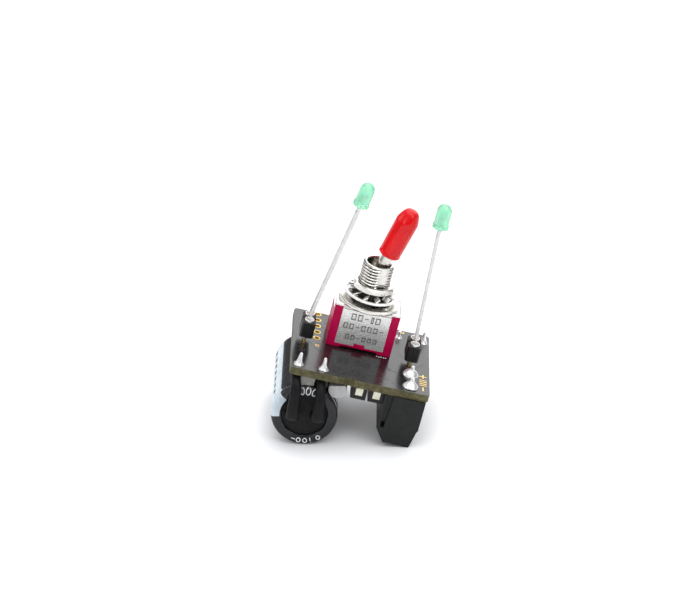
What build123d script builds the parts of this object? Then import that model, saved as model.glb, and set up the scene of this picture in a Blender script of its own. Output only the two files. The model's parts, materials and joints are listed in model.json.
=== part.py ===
from build123d import *
import os
from math import asin, atan2, cos, degrees, hypot, radians, sin, sqrt

os.makedirs("parts", exist_ok=True)

# A palm-sized line follower robot built on one small circuit board.
# Everything is modelled in the board's own frame, in millimetres: X runs to the right along the
# front edge, Y runs to the back, Z = 0 is the board's upper face.  At the end every piece is
# leaned over onto the floor, because the robot rests on its big capacitor and on the lower right
# edge of its terminal block, with the board sloping down to the right.

# ---------------------------------------------------------------- driving dimensions
# board
board_w = 28.0
board_d = 25.0
board_t = 1.6
board_corner_r = 0.8
under = -board_t
bite_r = 0.29
bite_pitch = 0.64
bite_count = 5
bite_first_x = 10.1

# header holes, a row of five 2.54 mm pads near the left edge
pitch = 2.54
header_x = 4.9
header_back_y = board_d - 0.8
header_count = 5
header_r = 0.5
pad_r = 0.75
plating_t = 0.05
test_point_pads = [(5.0, 10.9), (22.4, 24.0)]
test_point_r = 0.45

# reservoir capacitor lying along Y under the left side
cap_x = 5.05
cap_drop = 8.85
cap_r = 6.6
cap_front_y = 0.5
cap_len = 23.0
sleeve_wall = 0.25
sleeve_fold = 1.9
bung_r = 4.7
bung_recess = 0.7
bung_len = 3.2
can_wall = 0.35
crimp_y = 2.6
crimp_depth = 0.45
cap_twist = 9.0
cap_lead_pitch = 5.0
cap_lead_r = 0.35
lead_sleeve_r = 0.85
cap_hole_x = 1.5
cap_hole_y = 1.7

# terminal block under the right side, its screws facing the floor
block_left = 19.4
block_right = 27.6
block_front_y = -0.35
block_len = 2 * 5.08
block_h = 10.5
block_left_chamfer = (1.9, 2.95)
block_right_chamfer = (1.0, 4.0)
pole_pitch = 5.08
pole_x = 24.2
power_pin_x = 24.1
screw_r = 1.45
screw_head_r = 1.9
running_gap = 0.05
cage_travel = 1.6
screw_pitch = 0.5

# toggle switch standing on the board
switch_x = 13.25
switch_y = 16.0
switch_w = 13.2
switch_d = 7.4
switch_h = 9.6
frame_t = 0.4
frame_w = 9.9
frame_top_t = 0.5
bushing_r = 3.175
bushing_bore_r = 2.4
bushing_len = 8.9
pivot_below_mouth = 4.0
lever_throw = 13.0
lever_tip = 17.05
cap_sleeve_len = 10.8
cap_sleeve_r = 2.32
bat_r = 1.35
ball_r = bushing_bore_r - running_gap
stem_r = 0.95
trunnion_r = 0.45
trunnion_reach = 2.65
plunger_r = 0.6
plunger_reach = 9.65
nut_af = 8.0
nut_t = 1.3
lock_washer_r = 5.6
lock_washer_t = 1.4
lock_ring_t = 0.45
tab_washer_r = 6.2
tab_washer_t = 0.9
free_thread = 4.3
relief_depth = 0.25
relief_len = 0.75
relief_proud = 0.1
terminal_pitch = 4.7
blade = (1.3, 0.8)
pin_reach = 1.0
rocker_angle = 8.0

# eye sockets and lamps
socket_ys = [11.1, 10.4]
socket_x = [2.3, 23.8]
socket_names = ["left", "right"]
socket_w = 2.7
socket_l = 5.08
socket_h = 3.2
socket_standoff = 1.7
socket_pin_r = 0.25
contact_cup_r = 0.92
contact_cup_h = 0.5
cup_mouth_r = 0.78
contact_bore_r = 0.42
lead_side = 0.5
lead_plug = 2.4
lamp_lean = [8.8, -2.9]
lamp_tilt = [9.0, -0.8]
lamp_rise = [26.3, 25.4]
lamp_r = 1.5
lamp_flange_r = 1.65
lamp_flange_t = 0.9
lamp_len = 5.2

# vibration motor lying along Y under the board, between capacitor and controller
motor_x = 10.25
motor_drop = 2.05
motor_r = 1.93
motor_wall = 0.2
motor_len = 8.0
weight_front_y = 1.2
weight_len = 3.0
weight_r = 1.85
weight_cut = 0.95
motor_front_y = 4.6
shaft_r = 0.35

# line sensors under the front edge
sensor_x = [12.85, 16.35]
sensor_w = 3.05
sensor_d = 3.4
sensor_h = 2.6
sensor_front_y = 0.3

# controller under the board
chip_x = 15.7
chip_y = 9.2
chip_w = 3.9
chip_l = 8.65
chip_t = 1.45
chip_leads = 7
chip_lead_pitch = 1.27

pieces = {}


def keep(builder, name):
    """Label a finished piece and keep it for the leaning step at the end."""
    builder.part.label = name
    pieces[name] = builder.part


def down(x0, y0):
    """A plane on the board's underside whose local axes are X and depth, looking to the back."""
    return Plane(origin=(x0, y0, under), x_dir=(1, 0, 0), z_dir=(0, 1, 0))


# The floor touches the sleeve of the capacitor and the lower right edge of the terminal block:
#   (block_h - cap_drop) cos(lean) + (edge_x - cap_x) sin(lean) = cap_r
reach_x = block_right - block_right_chamfer[0] - cap_x
reach_z = block_h - cap_drop
lean = degrees(asin(cap_r / hypot(reach_x, reach_z)) - atan2(reach_z, reach_x))

header_ys = [header_back_y - i * pitch for i in range(header_count)]
cap_z = under - cap_drop
cap_lead_dx = cap_lead_pitch / 2 * cos(radians(cap_twist))
cap_lead_dz = cap_lead_pitch / 2 * sin(radians(cap_twist))
pole_ys = [block_front_y + pole_pitch / 2 + i * pole_pitch for i in range(2)]
terminal_xs = [switch_x + i * terminal_pitch for i in (-1, 0, 1)]
mouth_z = switch_h + bushing_len
pivot_z = mouth_z - pivot_below_mouth
fuse_xs = [21.6, 26.68]
fuse_y = 21.7

# ---------------------------------------------------------------- circuit board
cap_holes = [(cap_hole_x, cap_hole_y), (cap_hole_x + cap_lead_pitch, cap_hole_y)]
power_holes = [(power_pin_x, y) for y in pole_ys]
switch_holes = [(x, switch_y) for x in terminal_xs]
socket_holes = [(x, y + i * pitch) for x, y in zip(socket_x, socket_ys) for i in (0, 1)]
fuse_holes = [(x, fuse_y) for x in fuse_xs]

with BuildPart() as board:
    with BuildSketch(Plane.XY.offset(under)):
        with Locations((board_w / 2, board_d / 2)):
            RectangleRounded(board_w, board_d, board_corner_r)
        with Locations([(header_x, y) for y in header_ys]):
            Circle(header_r, mode=Mode.SUBTRACT)
        with Locations(cap_holes + fuse_holes):
            Circle(cap_lead_r + 0.1, mode=Mode.SUBTRACT)
        with Locations(power_holes):
            Circle(0.8, mode=Mode.SUBTRACT)
        with Locations(switch_holes):
            Circle(0.85, mode=Mode.SUBTRACT)
        with Locations(socket_holes):
            Circle(0.4, mode=Mode.SUBTRACT)
        with Locations([(bite_first_x + i * bite_pitch, 0) for i in range(bite_count)]):
            Circle(bite_r, mode=Mode.SUBTRACT)
    extrude(amount=board_t)
keep(board, "circuit_board")

# ring pads round the header holes, on both faces
with BuildPart() as plated:
    for face_z in (under - plating_t, 0):
        with BuildSketch(Plane.XY.offset(face_z)):
            with Locations([(header_x, y) for y in header_ys]):
                Circle(pad_r)
                Circle(header_r, mode=Mode.SUBTRACT)
        extrude(amount=plating_t)
keep(plated, "plated_header_holes")

# gold marks on the upper face: ring pads, and a plus, a minus and rating bars by the terminals
mark_x = board_w - 1.35
mark_w = 0.28
with BuildPart() as marks:
    with BuildSketch(Plane.XY):
        with Locations(test_point_pads):
            Circle(test_point_r)
            Circle(test_point_r / 2, mode=Mode.SUBTRACT)
        with Locations((mark_x, pole_ys[1])):
            Rectangle(1.5, mark_w)
            Rectangle(mark_w, 1.5)
        with Locations((mark_x, pole_ys[0])):
            Rectangle(mark_w, 1.5)
        with Locations([(mark_x, pole_ys[0] + 1.5 + 0.7 * i) for i in range(4)]):
            Rectangle(1.5, mark_w)
    extrude(amount=plating_t)
keep(marks, "gold_markings")

# ---------------------------------------------------------------- solder
# fillets on the upper face hold the parts that hang below: a flared foot, a cone and a lead stub
with BuildPart() as small_solder:
    for x, y in cap_holes + fuse_holes:
        with BuildSketch(Plane(origin=(x, y, 0), x_dir=(1, 0, 0), z_dir=(0, -1, 0))):
            with BuildLine():
                Line((0, 0), (0.8, 0))
                ThreePointArc((0.8, 0), (0.42, 0.5), (0.3, 1.3))
                Line((0.3, 1.3), (0.22, 2.3))
                Line((0.22, 2.3), (0, 2.45))
                Line((0, 2.45), (0, 0))
            make_face()
        revolve(axis=Axis((x, y, 0), (0, 0, 1)))
keep(small_solder, "lead_solder_joints")

with BuildPart() as power_solder:
    for y in pole_ys:
        with BuildSketch(Plane(origin=(power_pin_x, y, 0), x_dir=(1, 0, 0), z_dir=(0, -1, 0))):
            with BuildLine():
                Line((0, 0), (1.6, 0))
                ThreePointArc((1.6, 0), (1.15, 0.75), (0.45, 1.15))
                Line((0.45, 1.15), (0.3, 2.1))
                Line((0.3, 2.1), (0, 2.3))
                Line((0, 2.3), (0, 0))
            make_face()
        revolve(axis=Axis((power_pin_x, y, 0), (0, 0, 1)))
keep(power_solder, "power_solder_joints")

# fillets on the underside hold the switch and the two sockets
with BuildPart() as lower_solder:
    for x, y in switch_holes + socket_holes:
        foot = 1.25 if (x, y) in switch_holes else 0.55
        with BuildSketch(Plane(origin=(x, y, under), x_dir=(1, 0, 0), z_dir=(0, 1, 0))):
            with BuildLine():
                Line((0, 0), (foot, 0))
                ThreePointArc((foot, 0), (foot * 0.55, 0.45), (foot * 0.4, 1.1))
                Line((foot * 0.4, 1.1), (0, 1.4))
                Line((0, 1.4), (0, 0))
            make_face()
        revolve(axis=Axis((x, y, 0), (0, 0, 1)))
    with BuildSketch(Plane.XY.offset(under)):
        with Locations(socket_holes):
            Circle(socket_pin_r)
        with Locations(switch_holes):
            Rectangle(*blade)
    extrude(amount=-pin_reach, mode=Mode.SUBTRACT)
keep(lower_solder, "underside_solder_joints")

# ---------------------------------------------------------------- reservoir capacitor
can_r = cap_r - sleeve_wall
cap_back_y = cap_front_y + cap_len
cap_axis = Axis((cap_x, 0, cap_z), (0, 1, 0))
# local axes of this plane are radius (up) and length (to the back)
cap_section = Plane(origin=(cap_x, 0, cap_z), x_dir=(0, 0, 1), z_dir=(1, 0, 0))
can_front_y = cap_front_y + sleeve_wall
can_back_y = cap_back_y - sleeve_wall

with BuildPart() as can:
    with BuildSketch(cap_section):
        with BuildLine():
            Polyline((bung_r, -can_front_y), (bung_r, -can_front_y - can_wall),
                     (can_r - can_wall, -can_front_y - can_wall - 0.6),
                     (can_r - can_wall, -crimp_y + 0.6))
            ThreePointArc((can_r - can_wall, -crimp_y + 0.6), (can_r - can_wall - crimp_depth, -crimp_y),
                          (can_r - can_wall, -crimp_y - 0.6))
            Polyline((can_r - can_wall, -crimp_y - 0.6), (can_r - can_wall, -can_back_y + can_wall),
                     (0, -can_back_y + can_wall), (0, -can_back_y), (can_r - 0.6, -can_back_y))
            ThreePointArc((can_r - 0.6, -can_back_y), (can_r - 0.18, -can_back_y + 0.18),
                          (can_r, -can_back_y + 0.6))
            Line((can_r, -can_back_y + 0.6), (can_r, -crimp_y - 0.6))
            ThreePointArc((can_r, -crimp_y - 0.6), (can_r - crimp_depth, -crimp_y), (can_r, -crimp_y + 0.6))
            Line((can_r, -crimp_y + 0.6), (can_r, -can_front_y - 0.5))
            ThreePointArc((can_r, -can_front_y - 0.5), (can_r - 0.15, -can_front_y - 0.15),
                          (can_r - 0.5, -can_front_y))
            Line((can_r - 0.5, -can_front_y), (bung_r, -can_front_y))
        make_face()
    revolve(axis=cap_axis)
keep(can, "capacitor_can")

# PVC sleeve shrunk over the can, folded in over its rims
groove_r = can_r - crimp_depth
with BuildPart() as sleeve:
    with BuildSketch(cap_section):
        with BuildLine():
            Polyline((cap_r - sleeve_fold, -cap_front_y), (cap_r - 0.7, -cap_front_y))
            ThreePointArc((cap_r - 0.7, -cap_front_y), (cap_r - 0.2, -cap_front_y - 0.2),
                          (cap_r, -cap_front_y - 0.7))
            Line((cap_r, -cap_front_y - 0.7), (cap_r, -crimp_y + 0.6))
            ThreePointArc((cap_r, -crimp_y + 0.6), (cap_r - crimp_depth, -crimp_y), (cap_r, -crimp_y - 0.6))
            Line((cap_r, -crimp_y - 0.6), (cap_r, -cap_back_y + 0.7))
            ThreePointArc((cap_r, -cap_back_y + 0.7), (cap_r - 0.2, -cap_back_y + 0.2),
                          (cap_r - 0.7, -cap_back_y))
            Polyline((cap_r - 0.7, -cap_back_y), (cap_r - sleeve_fold, -cap_back_y),
                     (cap_r - sleeve_fold, -can_back_y), (can_r - 0.6, -can_back_y))
            ThreePointArc((can_r - 0.6, -can_back_y), (can_r - 0.18, -can_back_y + 0.18),
                          (can_r, -can_back_y + 0.6))
            Line((can_r, -can_back_y + 0.6), (can_r, -crimp_y - 0.6))
            ThreePointArc((can_r, -crimp_y - 0.6), (groove_r, -crimp_y), (can_r, -crimp_y + 0.6))
            Line((can_r, -crimp_y + 0.6), (can_r, -can_front_y - 0.5))
            ThreePointArc((can_r, -can_front_y - 0.5), (can_r - 0.15, -can_front_y - 0.15),
                          (can_r - 0.5, -can_front_y))
            Polyline((can_r - 0.5, -can_front_y), (cap_r - sleeve_fold, -can_front_y),
                     (cap_r - sleeve_fold, -cap_front_y))
        make_face()
    revolve(axis=cap_axis)
keep(sleeve, "capacitor_sleeve")

# rubber bung in the can's mouth, with a hole for each lead
cap_face = Plane(origin=(cap_x, 0, cap_z), x_dir=(1, 0, 0), z_dir=(0, 1, 0))
lead_exits = [(-cap_lead_dx, cap_lead_dz), (cap_lead_dx, -cap_lead_dz)]
bung_front_y = cap_front_y + bung_recess
bung_back_y = bung_front_y + bung_len
with BuildPart() as bung:
    with BuildSketch(cap_face.offset(bung_front_y)):
        Circle(bung_r - 0.02)
        with Locations(lead_exits):
            Circle(cap_lead_r, mode=Mode.SUBTRACT)
    extrude(amount=bung_len)
keep(bung, "capacitor_bung")

# the wound foil and paper inside the can
with BuildPart() as winding:
    with BuildSketch(cap_face.offset(bung_back_y + 0.6)):
        Circle(can_r - can_wall - 0.25)
        Circle(0.6, mode=Mode.SUBTRACT)
    extrude(amount=can_back_y - can_wall - 0.6 - bung_back_y - 0.6)
    fillet(winding.edges().filter_by(GeomType.CIRCLE).group_by(SortBy.RADIUS)[-1], 0.4)
keep(winding, "capacitor_winding")


def lead_route(exit_dx, exit_dz, hole_x, first_y, last_z):
    """Corner points of one capacitor lead, from the bung round the rim and up into the board."""
    x0 = cap_x + exit_dx
    z0 = cap_z - exit_dz
    return [(x0, first_y, z0),
            (x0, cap_front_y - 2.1, z0),
            ((x0 + 2 * hole_x) / 3 + 0.35, cap_front_y - 1.35, under - 2.3),
            (hole_x, cap_hole_y, under - 0.95),
            (hole_x, cap_hole_y, last_z)]


lead_bends = [1.5, 1.35, 0.75]
with BuildPart() as cap_leads:
    for (dx, dz), (hole_x, hole_y) in zip(lead_exits, cap_holes):
        with BuildLine() as route:
            FilletPolyline(*lead_route(dx, dz, hole_x, bung_back_y + 0.5, 0.0), radius=lead_bends)
        with BuildSketch(Plane(origin=route.line @ 0, z_dir=route.line % 0)):
            Circle(cap_lead_r)
        sweep(path=route.line)
keep(cap_leads, "capacitor_leads")

with BuildPart() as lead_sleeves:
    for (dx, dz), (hole_x, hole_y) in zip(lead_exits, cap_holes):
        with BuildLine() as route:
            FilletPolyline(*lead_route(dx, dz, hole_x, bung_front_y, under - 0.05), radius=lead_bends)
        with BuildSketch(Plane(origin=route.line @ 0, z_dir=route.line % 0)):
            Circle(lead_sleeve_r)
            Circle(cap_lead_r, mode=Mode.SUBTRACT)
        sweep(path=route.line)
keep(lead_sleeves, "lead_sleeves")

# foam pad that holds the can to the board, hollowed to the can
pad_left_x = 3.2
pad_right_x = 8.2
pad_front_y = 2.9
pad_len = 10.0
pad_tongue_x = (2.6, 5.4)
pad_tongue_y = 1.1
with BuildPart() as pad:
    with BuildSketch(cap_face.offset(pad_front_y)):
        with Locations(((pad_left_x + pad_right_x) / 2 - cap_x, -cap_drop / 2)):
            Rectangle(pad_right_x - pad_left_x, cap_drop)
        Circle(cap_r + 0.02, mode=Mode.SUBTRACT)
    extrude(amount=pad_len)
    with BuildSketch(cap_face.offset(pad_tongue_y)):
        with Locations((sum(pad_tongue_x) / 2 - cap_x, -cap_drop / 2)):
            Rectangle(pad_tongue_x[1] - pad_tongue_x[0], cap_drop)
        Circle(cap_r + 0.02, mode=Mode.SUBTRACT)
    extrude(amount=pad_front_y - pad_tongue_y)
keep(pad, "adhesive_pad")

# ---------------------------------------------------------------- vibration motor
motor_z = under - motor_drop
motor_back_y = motor_front_y + motor_len
motor_face = Plane(origin=(motor_x, 0, motor_z), x_dir=(1, 0, 0), z_dir=(0, 1, 0))
bearing_len = 0.9

with BuildPart() as motor_can:
    with BuildSketch(motor_face.offset(motor_front_y)):
        Circle(motor_r)
        Circle(shaft_r + running_gap, mode=Mode.SUBTRACT)
    extrude(amount=bearing_len)
    with BuildSketch(motor_face.offset(motor_front_y + bearing_len)):
        Circle(motor_r)
        Circle(motor_r - motor_wall, mode=Mode.SUBTRACT)
    extrude(amount=motor_len - bearing_len)
keep(motor_can, "motor_can")

with BuildPart() as motor_cap:
    with BuildSketch(motor_face.offset(motor_back_y - 0.7)):
        Circle(motor_r - motor_wall)
        Circle(shaft_r + running_gap, mode=Mode.SUBTRACT)
    extrude(amount=0.7)
    with BuildSketch(motor_face.offset(motor_back_y)):
        Circle(motor_r)
        Circle(shaft_r + running_gap, mode=Mode.SUBTRACT)
    extrude(amount=0.35)
keep(motor_cap, "motor_end_cap")

magnet_r = 0.9
with BuildPart() as magnet:
    with BuildSketch(motor_face.offset(motor_front_y + bearing_len)):
        Circle(magnet_r)
        Circle(shaft_r + 2 * running_gap, mode=Mode.SUBTRACT)
    extrude(amount=4.6)
keep(magnet, "motor_magnet")

# cup-shaped coil on the shaft, turning between magnet and can
coil_back_y = motor_back_y - 1.1
coil_front_y = motor_front_y + bearing_len + 0.3
with BuildPart() as coil:
    with BuildSketch(motor_face.offset(coil_front_y)):
        Circle(motor_r - motor_wall - 0.2)
        Circle(magnet_r + 0.2, mode=Mode.SUBTRACT)
    extrude(amount=coil_back_y - 0.5 - coil_front_y)
    with BuildSketch(motor_face.offset(coil_back_y - 0.5)):
        Circle(motor_r - motor_wall - 0.2)
        Circle(shaft_r, mode=Mode.SUBTRACT)
    extrude(amount=0.5)
keep(coil, "motor_coil")

with BuildPart() as shaft:
    with BuildSketch(motor_face.offset(weight_front_y + 0.6)):
        Circle(shaft_r)
    extrude(amount=motor_back_y + 0.2 - weight_front_y - 0.6)
keep(shaft, "motor_shaft")

# eccentric weight: a disc cut off above its hub, its heavy side hanging plumb on the leaning robot
plumb = radians(lean)
weight_face = Plane(origin=(motor_x, weight_front_y, motor_z), x_dir=(cos(plumb), 0, sin(plumb)),
                    z_dir=(0, 1, 0))
with BuildPart() as weight:
    with BuildSketch(weight_face):
        Circle(weight_r)
        with Locations((0, -weight_cut - weight_r)):
            Rectangle(2 * weight_r, 2 * weight_r, mode=Mode.SUBTRACT)
    extrude(amount=weight_len)
    with BuildSketch(weight_face.offset(0.6)):
        Circle(shaft_r)
    extrude(amount=weight_len, mode=Mode.SUBTRACT)
keep(weight, "eccentric_weight")

# ---------------------------------------------------------------- line sensors
frame_side = 0.8
window_t = 0.35
with BuildPart() as sensors:
    for x in sensor_x:
        with BuildSketch(down(x, sensor_front_y)):
            with Locations((sensor_w / 2, sensor_h / 2)):
                Rectangle(sensor_w, sensor_h)
        extrude(amount=sensor_d)
        with BuildSketch(down(x, sensor_front_y)):
            with Locations((sensor_w / 2, (sensor_h - 0.8) / 2)):
                Rectangle(sensor_w - 2 * frame_side, sensor_h - 0.8)
        extrude(amount=window_t, mode=Mode.SUBTRACT)
keep(sensors, "line_sensor_housings")

with BuildPart() as windows:
    for x in sensor_x:
        with BuildSketch(down(x, sensor_front_y + 0.08)):
            with Locations((sensor_w / 2, (sensor_h - 0.8) / 2)):
                Rectangle(sensor_w - 2 * frame_side, sensor_h - 0.8)
        extrude(amount=window_t - 0.08)
keep(windows, "line_sensor_windows")

# ---------------------------------------------------------------- controller and small parts
with BuildPart() as chip:
    with BuildSketch(Plane.XY.offset(under - 0.15 - chip_t)):
        with Locations((chip_x, chip_y)):
            Rectangle(chip_w, chip_l)
    extrude(amount=chip_t)
    chamfer(chip.faces().sort_by(Axis.Z)[0].edges(), 0.12)
keep(chip, "controller_chip")

lead_ys = [chip_y + (i - (chip_leads - 1) / 2) * chip_lead_pitch for i in range(chip_leads)]
with BuildPart() as chip_pins:
    for side in (-1, 1):
        for y in lead_ys:
            with BuildSketch(down(chip_x, y - 0.2)):
                with BuildLine():
                    Polyline((side * chip_w / 2, 0.75), (side * (chip_w / 2 + 0.5), 0.75),
                             (side * (chip_w / 2 + 0.62), 0.2), (side * (chip_w / 2 + 1.05), 0.2),
                             (side * (chip_w / 2 + 1.05), 0.0), (side * (chip_w / 2 + 0.42), 0.0),
                             (side * (chip_w / 2 + 0.32), 0.55), (side * chip_w / 2, 0.55),
                             close=True)
                make_face()
            extrude(amount=0.4)
keep(chip_pins, "controller_leads")

resistor_spots = [(21.4, 11.6), (21.4, 13.5), (21.4, 15.4), (21.4, 17.3)]
capacitor_spots = [(25.2, 15.2), (25.2, 19.2)]
chip_body = (2.0, 1.25, 0.5)
with BuildPart() as resistors:
    with Locations([(x, y, under - chip_body[2] / 2) for x, y in resistor_spots]):
        Box(*chip_body)
keep(resistors, "chip_resistors")

with BuildPart() as chip_caps:
    with Locations([(x, y, under - 0.45) for x, y in capacitor_spots]):
        Box(2.0, 1.25, 0.9)
keep(chip_caps, "chip_capacitors")

with BuildPart() as driver:
    with Locations((25.2, 17.2, under - 0.65)):
        Box(2.9, 1.3, 1.0)
    chamfer(driver.edges().group_by(Axis.Z)[0], 0.15)
    with Locations([(24.25, 16.35, under - 0.15), (26.15, 16.35, under - 0.15), (25.2, 18.05, under - 0.15)]):
        Box(0.4, 0.5, 0.3)
keep(driver, "motor_driver_transistor")

# resettable fuse, a disc on two long leads
fuse_r = 3.5
fuse_t = 1.8
fuse_gap = 1.2
fuse_mid_x = sum(fuse_xs) / 2
with BuildPart() as fuse:
    with BuildSketch(down(fuse_mid_x, fuse_y - fuse_t / 2)):
        with Locations((0, fuse_gap + fuse_r)):
            Circle(fuse_r)
    extrude(amount=fuse_t)
    fillet(fuse.edges(), 0.6)
keep(fuse, "resettable_fuse")

with BuildPart() as fuse_leads:
    for x in fuse_xs:
        with BuildSketch(Plane.XY):
            with Locations((x, fuse_y)):
                Circle(0.25)
        extrude(amount=-board_t - fuse_gap - 1.6)
    add(fuse.part, mode=Mode.SUBTRACT)
keep(fuse_leads, "fuse_leads")

# ---------------------------------------------------------------- terminal block
# depths below are measured down from the board's underside
cavity_x = (21.4, 26.5)
cavity_y = 2.1
cavity_top = 0.55
cavity_floor = 8.4
shoulder_t = 0.4
entry_drop = 2.95
entry_r = 1.3
bar_drop = 4.3
bar_t = 0.5
screw_tip_drop = 5.0
screw_head_drop = cavity_floor + shoulder_t + 0.05
screw_head_t = 1.3
cage_w = 3.8
cage_l = 3.9
cage_wall = 0.4
cage_nut_t = 0.8
cage_top_drop = 1.15
cage_floor_drop = 5.9

with BuildPart() as housing:
    with BuildSketch(down(0, block_front_y)):
        with BuildLine():
            Polyline((block_left, 0), (block_right, 0),
                     (block_right, block_h - block_right_chamfer[1]),
                     (block_right - 0.2, block_h - block_right_chamfer[1] + 0.25),
                     (block_right - block_right_chamfer[0], block_h),
                     (block_left + block_left_chamfer[0], block_h),
                     (block_left, block_h - block_left_chamfer[1]),
                     close=True)
        make_face()
    extrude(amount=block_len)
    # tapered keying groove down the front end, ending in a small blind pocket
    with BuildSketch(down(0, block_front_y)):
        with BuildLine():
            Polyline((block_left + 0.5, 0), (block_left + 1.8, 0), (block_left + 1.35, 7.2),
                     (block_left + 0.65, 7.2), close=True)
        make_face()
    extrude(amount=0.35, mode=Mode.SUBTRACT)
    with BuildSketch(down(block_left + 1.0, block_front_y)):
        with Locations((0, 6.6)):
            Rectangle(0.7, 1.2)
    extrude(amount=1.4, mode=Mode.SUBTRACT)
    for y in pole_ys:
        with BuildSketch(down(0, y - cavity_y)):
            with Locations((sum(cavity_x) / 2, (cavity_top + cavity_floor) / 2)):
                Rectangle(cavity_x[1] - cavity_x[0], cavity_floor - cavity_top)
        extrude(amount=2 * cavity_y, mode=Mode.SUBTRACT)
        with BuildSketch(Plane.XY.offset(under)):
            with Locations((power_pin_x, y)):
                Circle(0.8)
        extrude(amount=-cavity_top - 0.1, mode=Mode.SUBTRACT)
        with BuildSketch(Plane.XY.offset(under - cavity_floor)):
            with Locations((pole_x, y)):
                Circle(screw_r + 2 * running_gap)
        extrude(amount=-shoulder_t, mode=Mode.SUBTRACT)
        with BuildSketch(Plane.XY.offset(under - cavity_floor - shoulder_t)):
            with Locations((pole_x, y)):
                Circle(screw_head_r + 2 * running_gap)
        extrude(amount=-block_h, mode=Mode.SUBTRACT)
        with BuildSketch(Plane(origin=(block_right + 1, y, under - entry_drop), z_dir=(-1, 0, 0))):
            Circle(entry_r)
        extrude(amount=block_right + 1.2 - cavity_x[1], mode=Mode.SUBTRACT)
keep(housing, "terminal_housing")

# bent tin-plated strips: the clamp bar inside each cage, a riser, and the pin through the board
strip_w = 1.0
bar_right = cavity_x[1] - 0.2
riser_left = cavity_x[0] + 0.1
with BuildPart() as strips:
    for y in pole_ys:
        with BuildSketch(down(0, y - strip_w / 2)):
            with BuildLine():
                Polyline((bar_right, bar_drop), (bar_right, bar_drop + bar_t), (riser_left, bar_drop + bar_t),
                         (riser_left, cavity_top), (power_pin_x - 0.45, cavity_top),
                         (power_pin_x - 0.45, under), (power_pin_x + 0.45, under),
                         (power_pin_x + 0.45, cavity_top + 0.4), (riser_left + 0.45, cavity_top + 0.4),
                         (riser_left + 0.45, bar_drop), close=True)
            make_face()
        extrude(amount=strip_w)
keep(strips, "terminal_strips")

for place, y in zip(("front", "rear"), pole_ys):
    with BuildPart() as cage:
        with BuildSketch(down(0, y - cage_l / 2)):
            with Locations((pole_x, (cage_top_drop + cage_floor_drop + cage_nut_t) / 2)):
                Rectangle(cage_w, cage_floor_drop + cage_nut_t - cage_top_drop)
        extrude(amount=cage_l)
        with BuildSketch(down(0, y - cage_l / 2 + cage_wall)):
            with Locations((pole_x, (cage_top_drop + cage_wall + cage_floor_drop) / 2)):
                Rectangle(cage_w + 1, cage_floor_drop - cage_top_drop - cage_wall)
        extrude(amount=cage_l - 2 * cage_wall, mode=Mode.SUBTRACT)
        with BuildSketch(Plane.XY.offset(under - cage_floor_drop)):
            with Locations((pole_x, y)):
                Circle(screw_r + running_gap)
        extrude(amount=-cage_nut_t, mode=Mode.SUBTRACT)
    keep(cage, f"wire_cage_{place}")

    with BuildPart() as screw:
        with BuildSketch(Plane.XY.offset(under - screw_tip_drop)):
            with Locations((pole_x, y)):
                Circle(screw_r)
        extrude(amount=screw_tip_drop - screw_head_drop)
        with BuildSketch(Plane.XY.offset(under - screw_head_drop)):
            with Locations((pole_x, y)):
                Circle(screw_head_r)
        extrude(amount=-screw_head_t)
        with BuildSketch(Plane.XY.offset(under - screw_head_drop - screw_head_t)):
            with Locations((pole_x, y)):
                Rectangle(0.55, 2 * screw_head_r)
        extrude(amount=0.8, mode=Mode.SUBTRACT)
        chamfer(screw.faces().sort_by(Axis.Z)[-1].edges(), 0.25)
    keep(screw, f"clamp_screw_{place}")

# ---------------------------------------------------------------- toggle switch
switch_front = switch_y - switch_d / 2
body_top = switch_h - frame_top_t
shell_wall = 1.0
groove_h = 0.3
groove_depth = 0.25
foot_h = 0.8
floor_z = 1.6


def front_outline(grow):
    """Outline of the steel front plate, notched at its foot."""
    half = frame_w / 2 + grow
    foot = foot_h - grow
    notch = 1.1 - grow
    return [(-half, body_top), (-half, foot), (-notch, foot), (-notch, foot + 0.6),
            (notch, foot + 0.6), (notch, foot), (half, foot), (half, body_top)]


with BuildPart() as base:
    with BuildSketch(Plane.XY):
        with Locations((switch_x, switch_y)):
            Rectangle(switch_w, switch_d)
    extrude(amount=body_top)
    # inner space for the contacts
    with BuildSketch(Plane.XY.offset(floor_z)):
        with Locations((switch_x, switch_y)):
            Rectangle(switch_w - 2 * shell_wall, switch_d - 2 * frame_t - 2 * shell_wall)
    extrude(amount=body_top, mode=Mode.SUBTRACT)
    # recess for the steel plate, front and back
    for side, direction in ((-1, 1), (1, -1)):
        with BuildSketch(Plane(origin=(switch_x, switch_y + side * switch_d / 2, 0),
                               x_dir=(1, 0, 0), z_dir=(0, -1, 0))):
            with BuildLine():
                Polyline(*front_outline(0), close=True)
            make_face()
        extrude(amount=-direction * frame_t, mode=Mode.SUBTRACT)
    # raised underside between the two feet
    with BuildSketch(Plane.XY):
        with Locations((switch_x, switch_y)):
            Rectangle(frame_w - 2.4, switch_d)
            Rectangle(2.4, 2.4, mode=Mode.SUBTRACT)
    extrude(amount=0.35, mode=Mode.SUBTRACT)
    with BuildSketch(Plane.XY):
        with Locations(switch_holes):
            Rectangle(*blade)
    extrude(amount=floor_z, mode=Mode.SUBTRACT)
keep(base, "switch_base")

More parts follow.
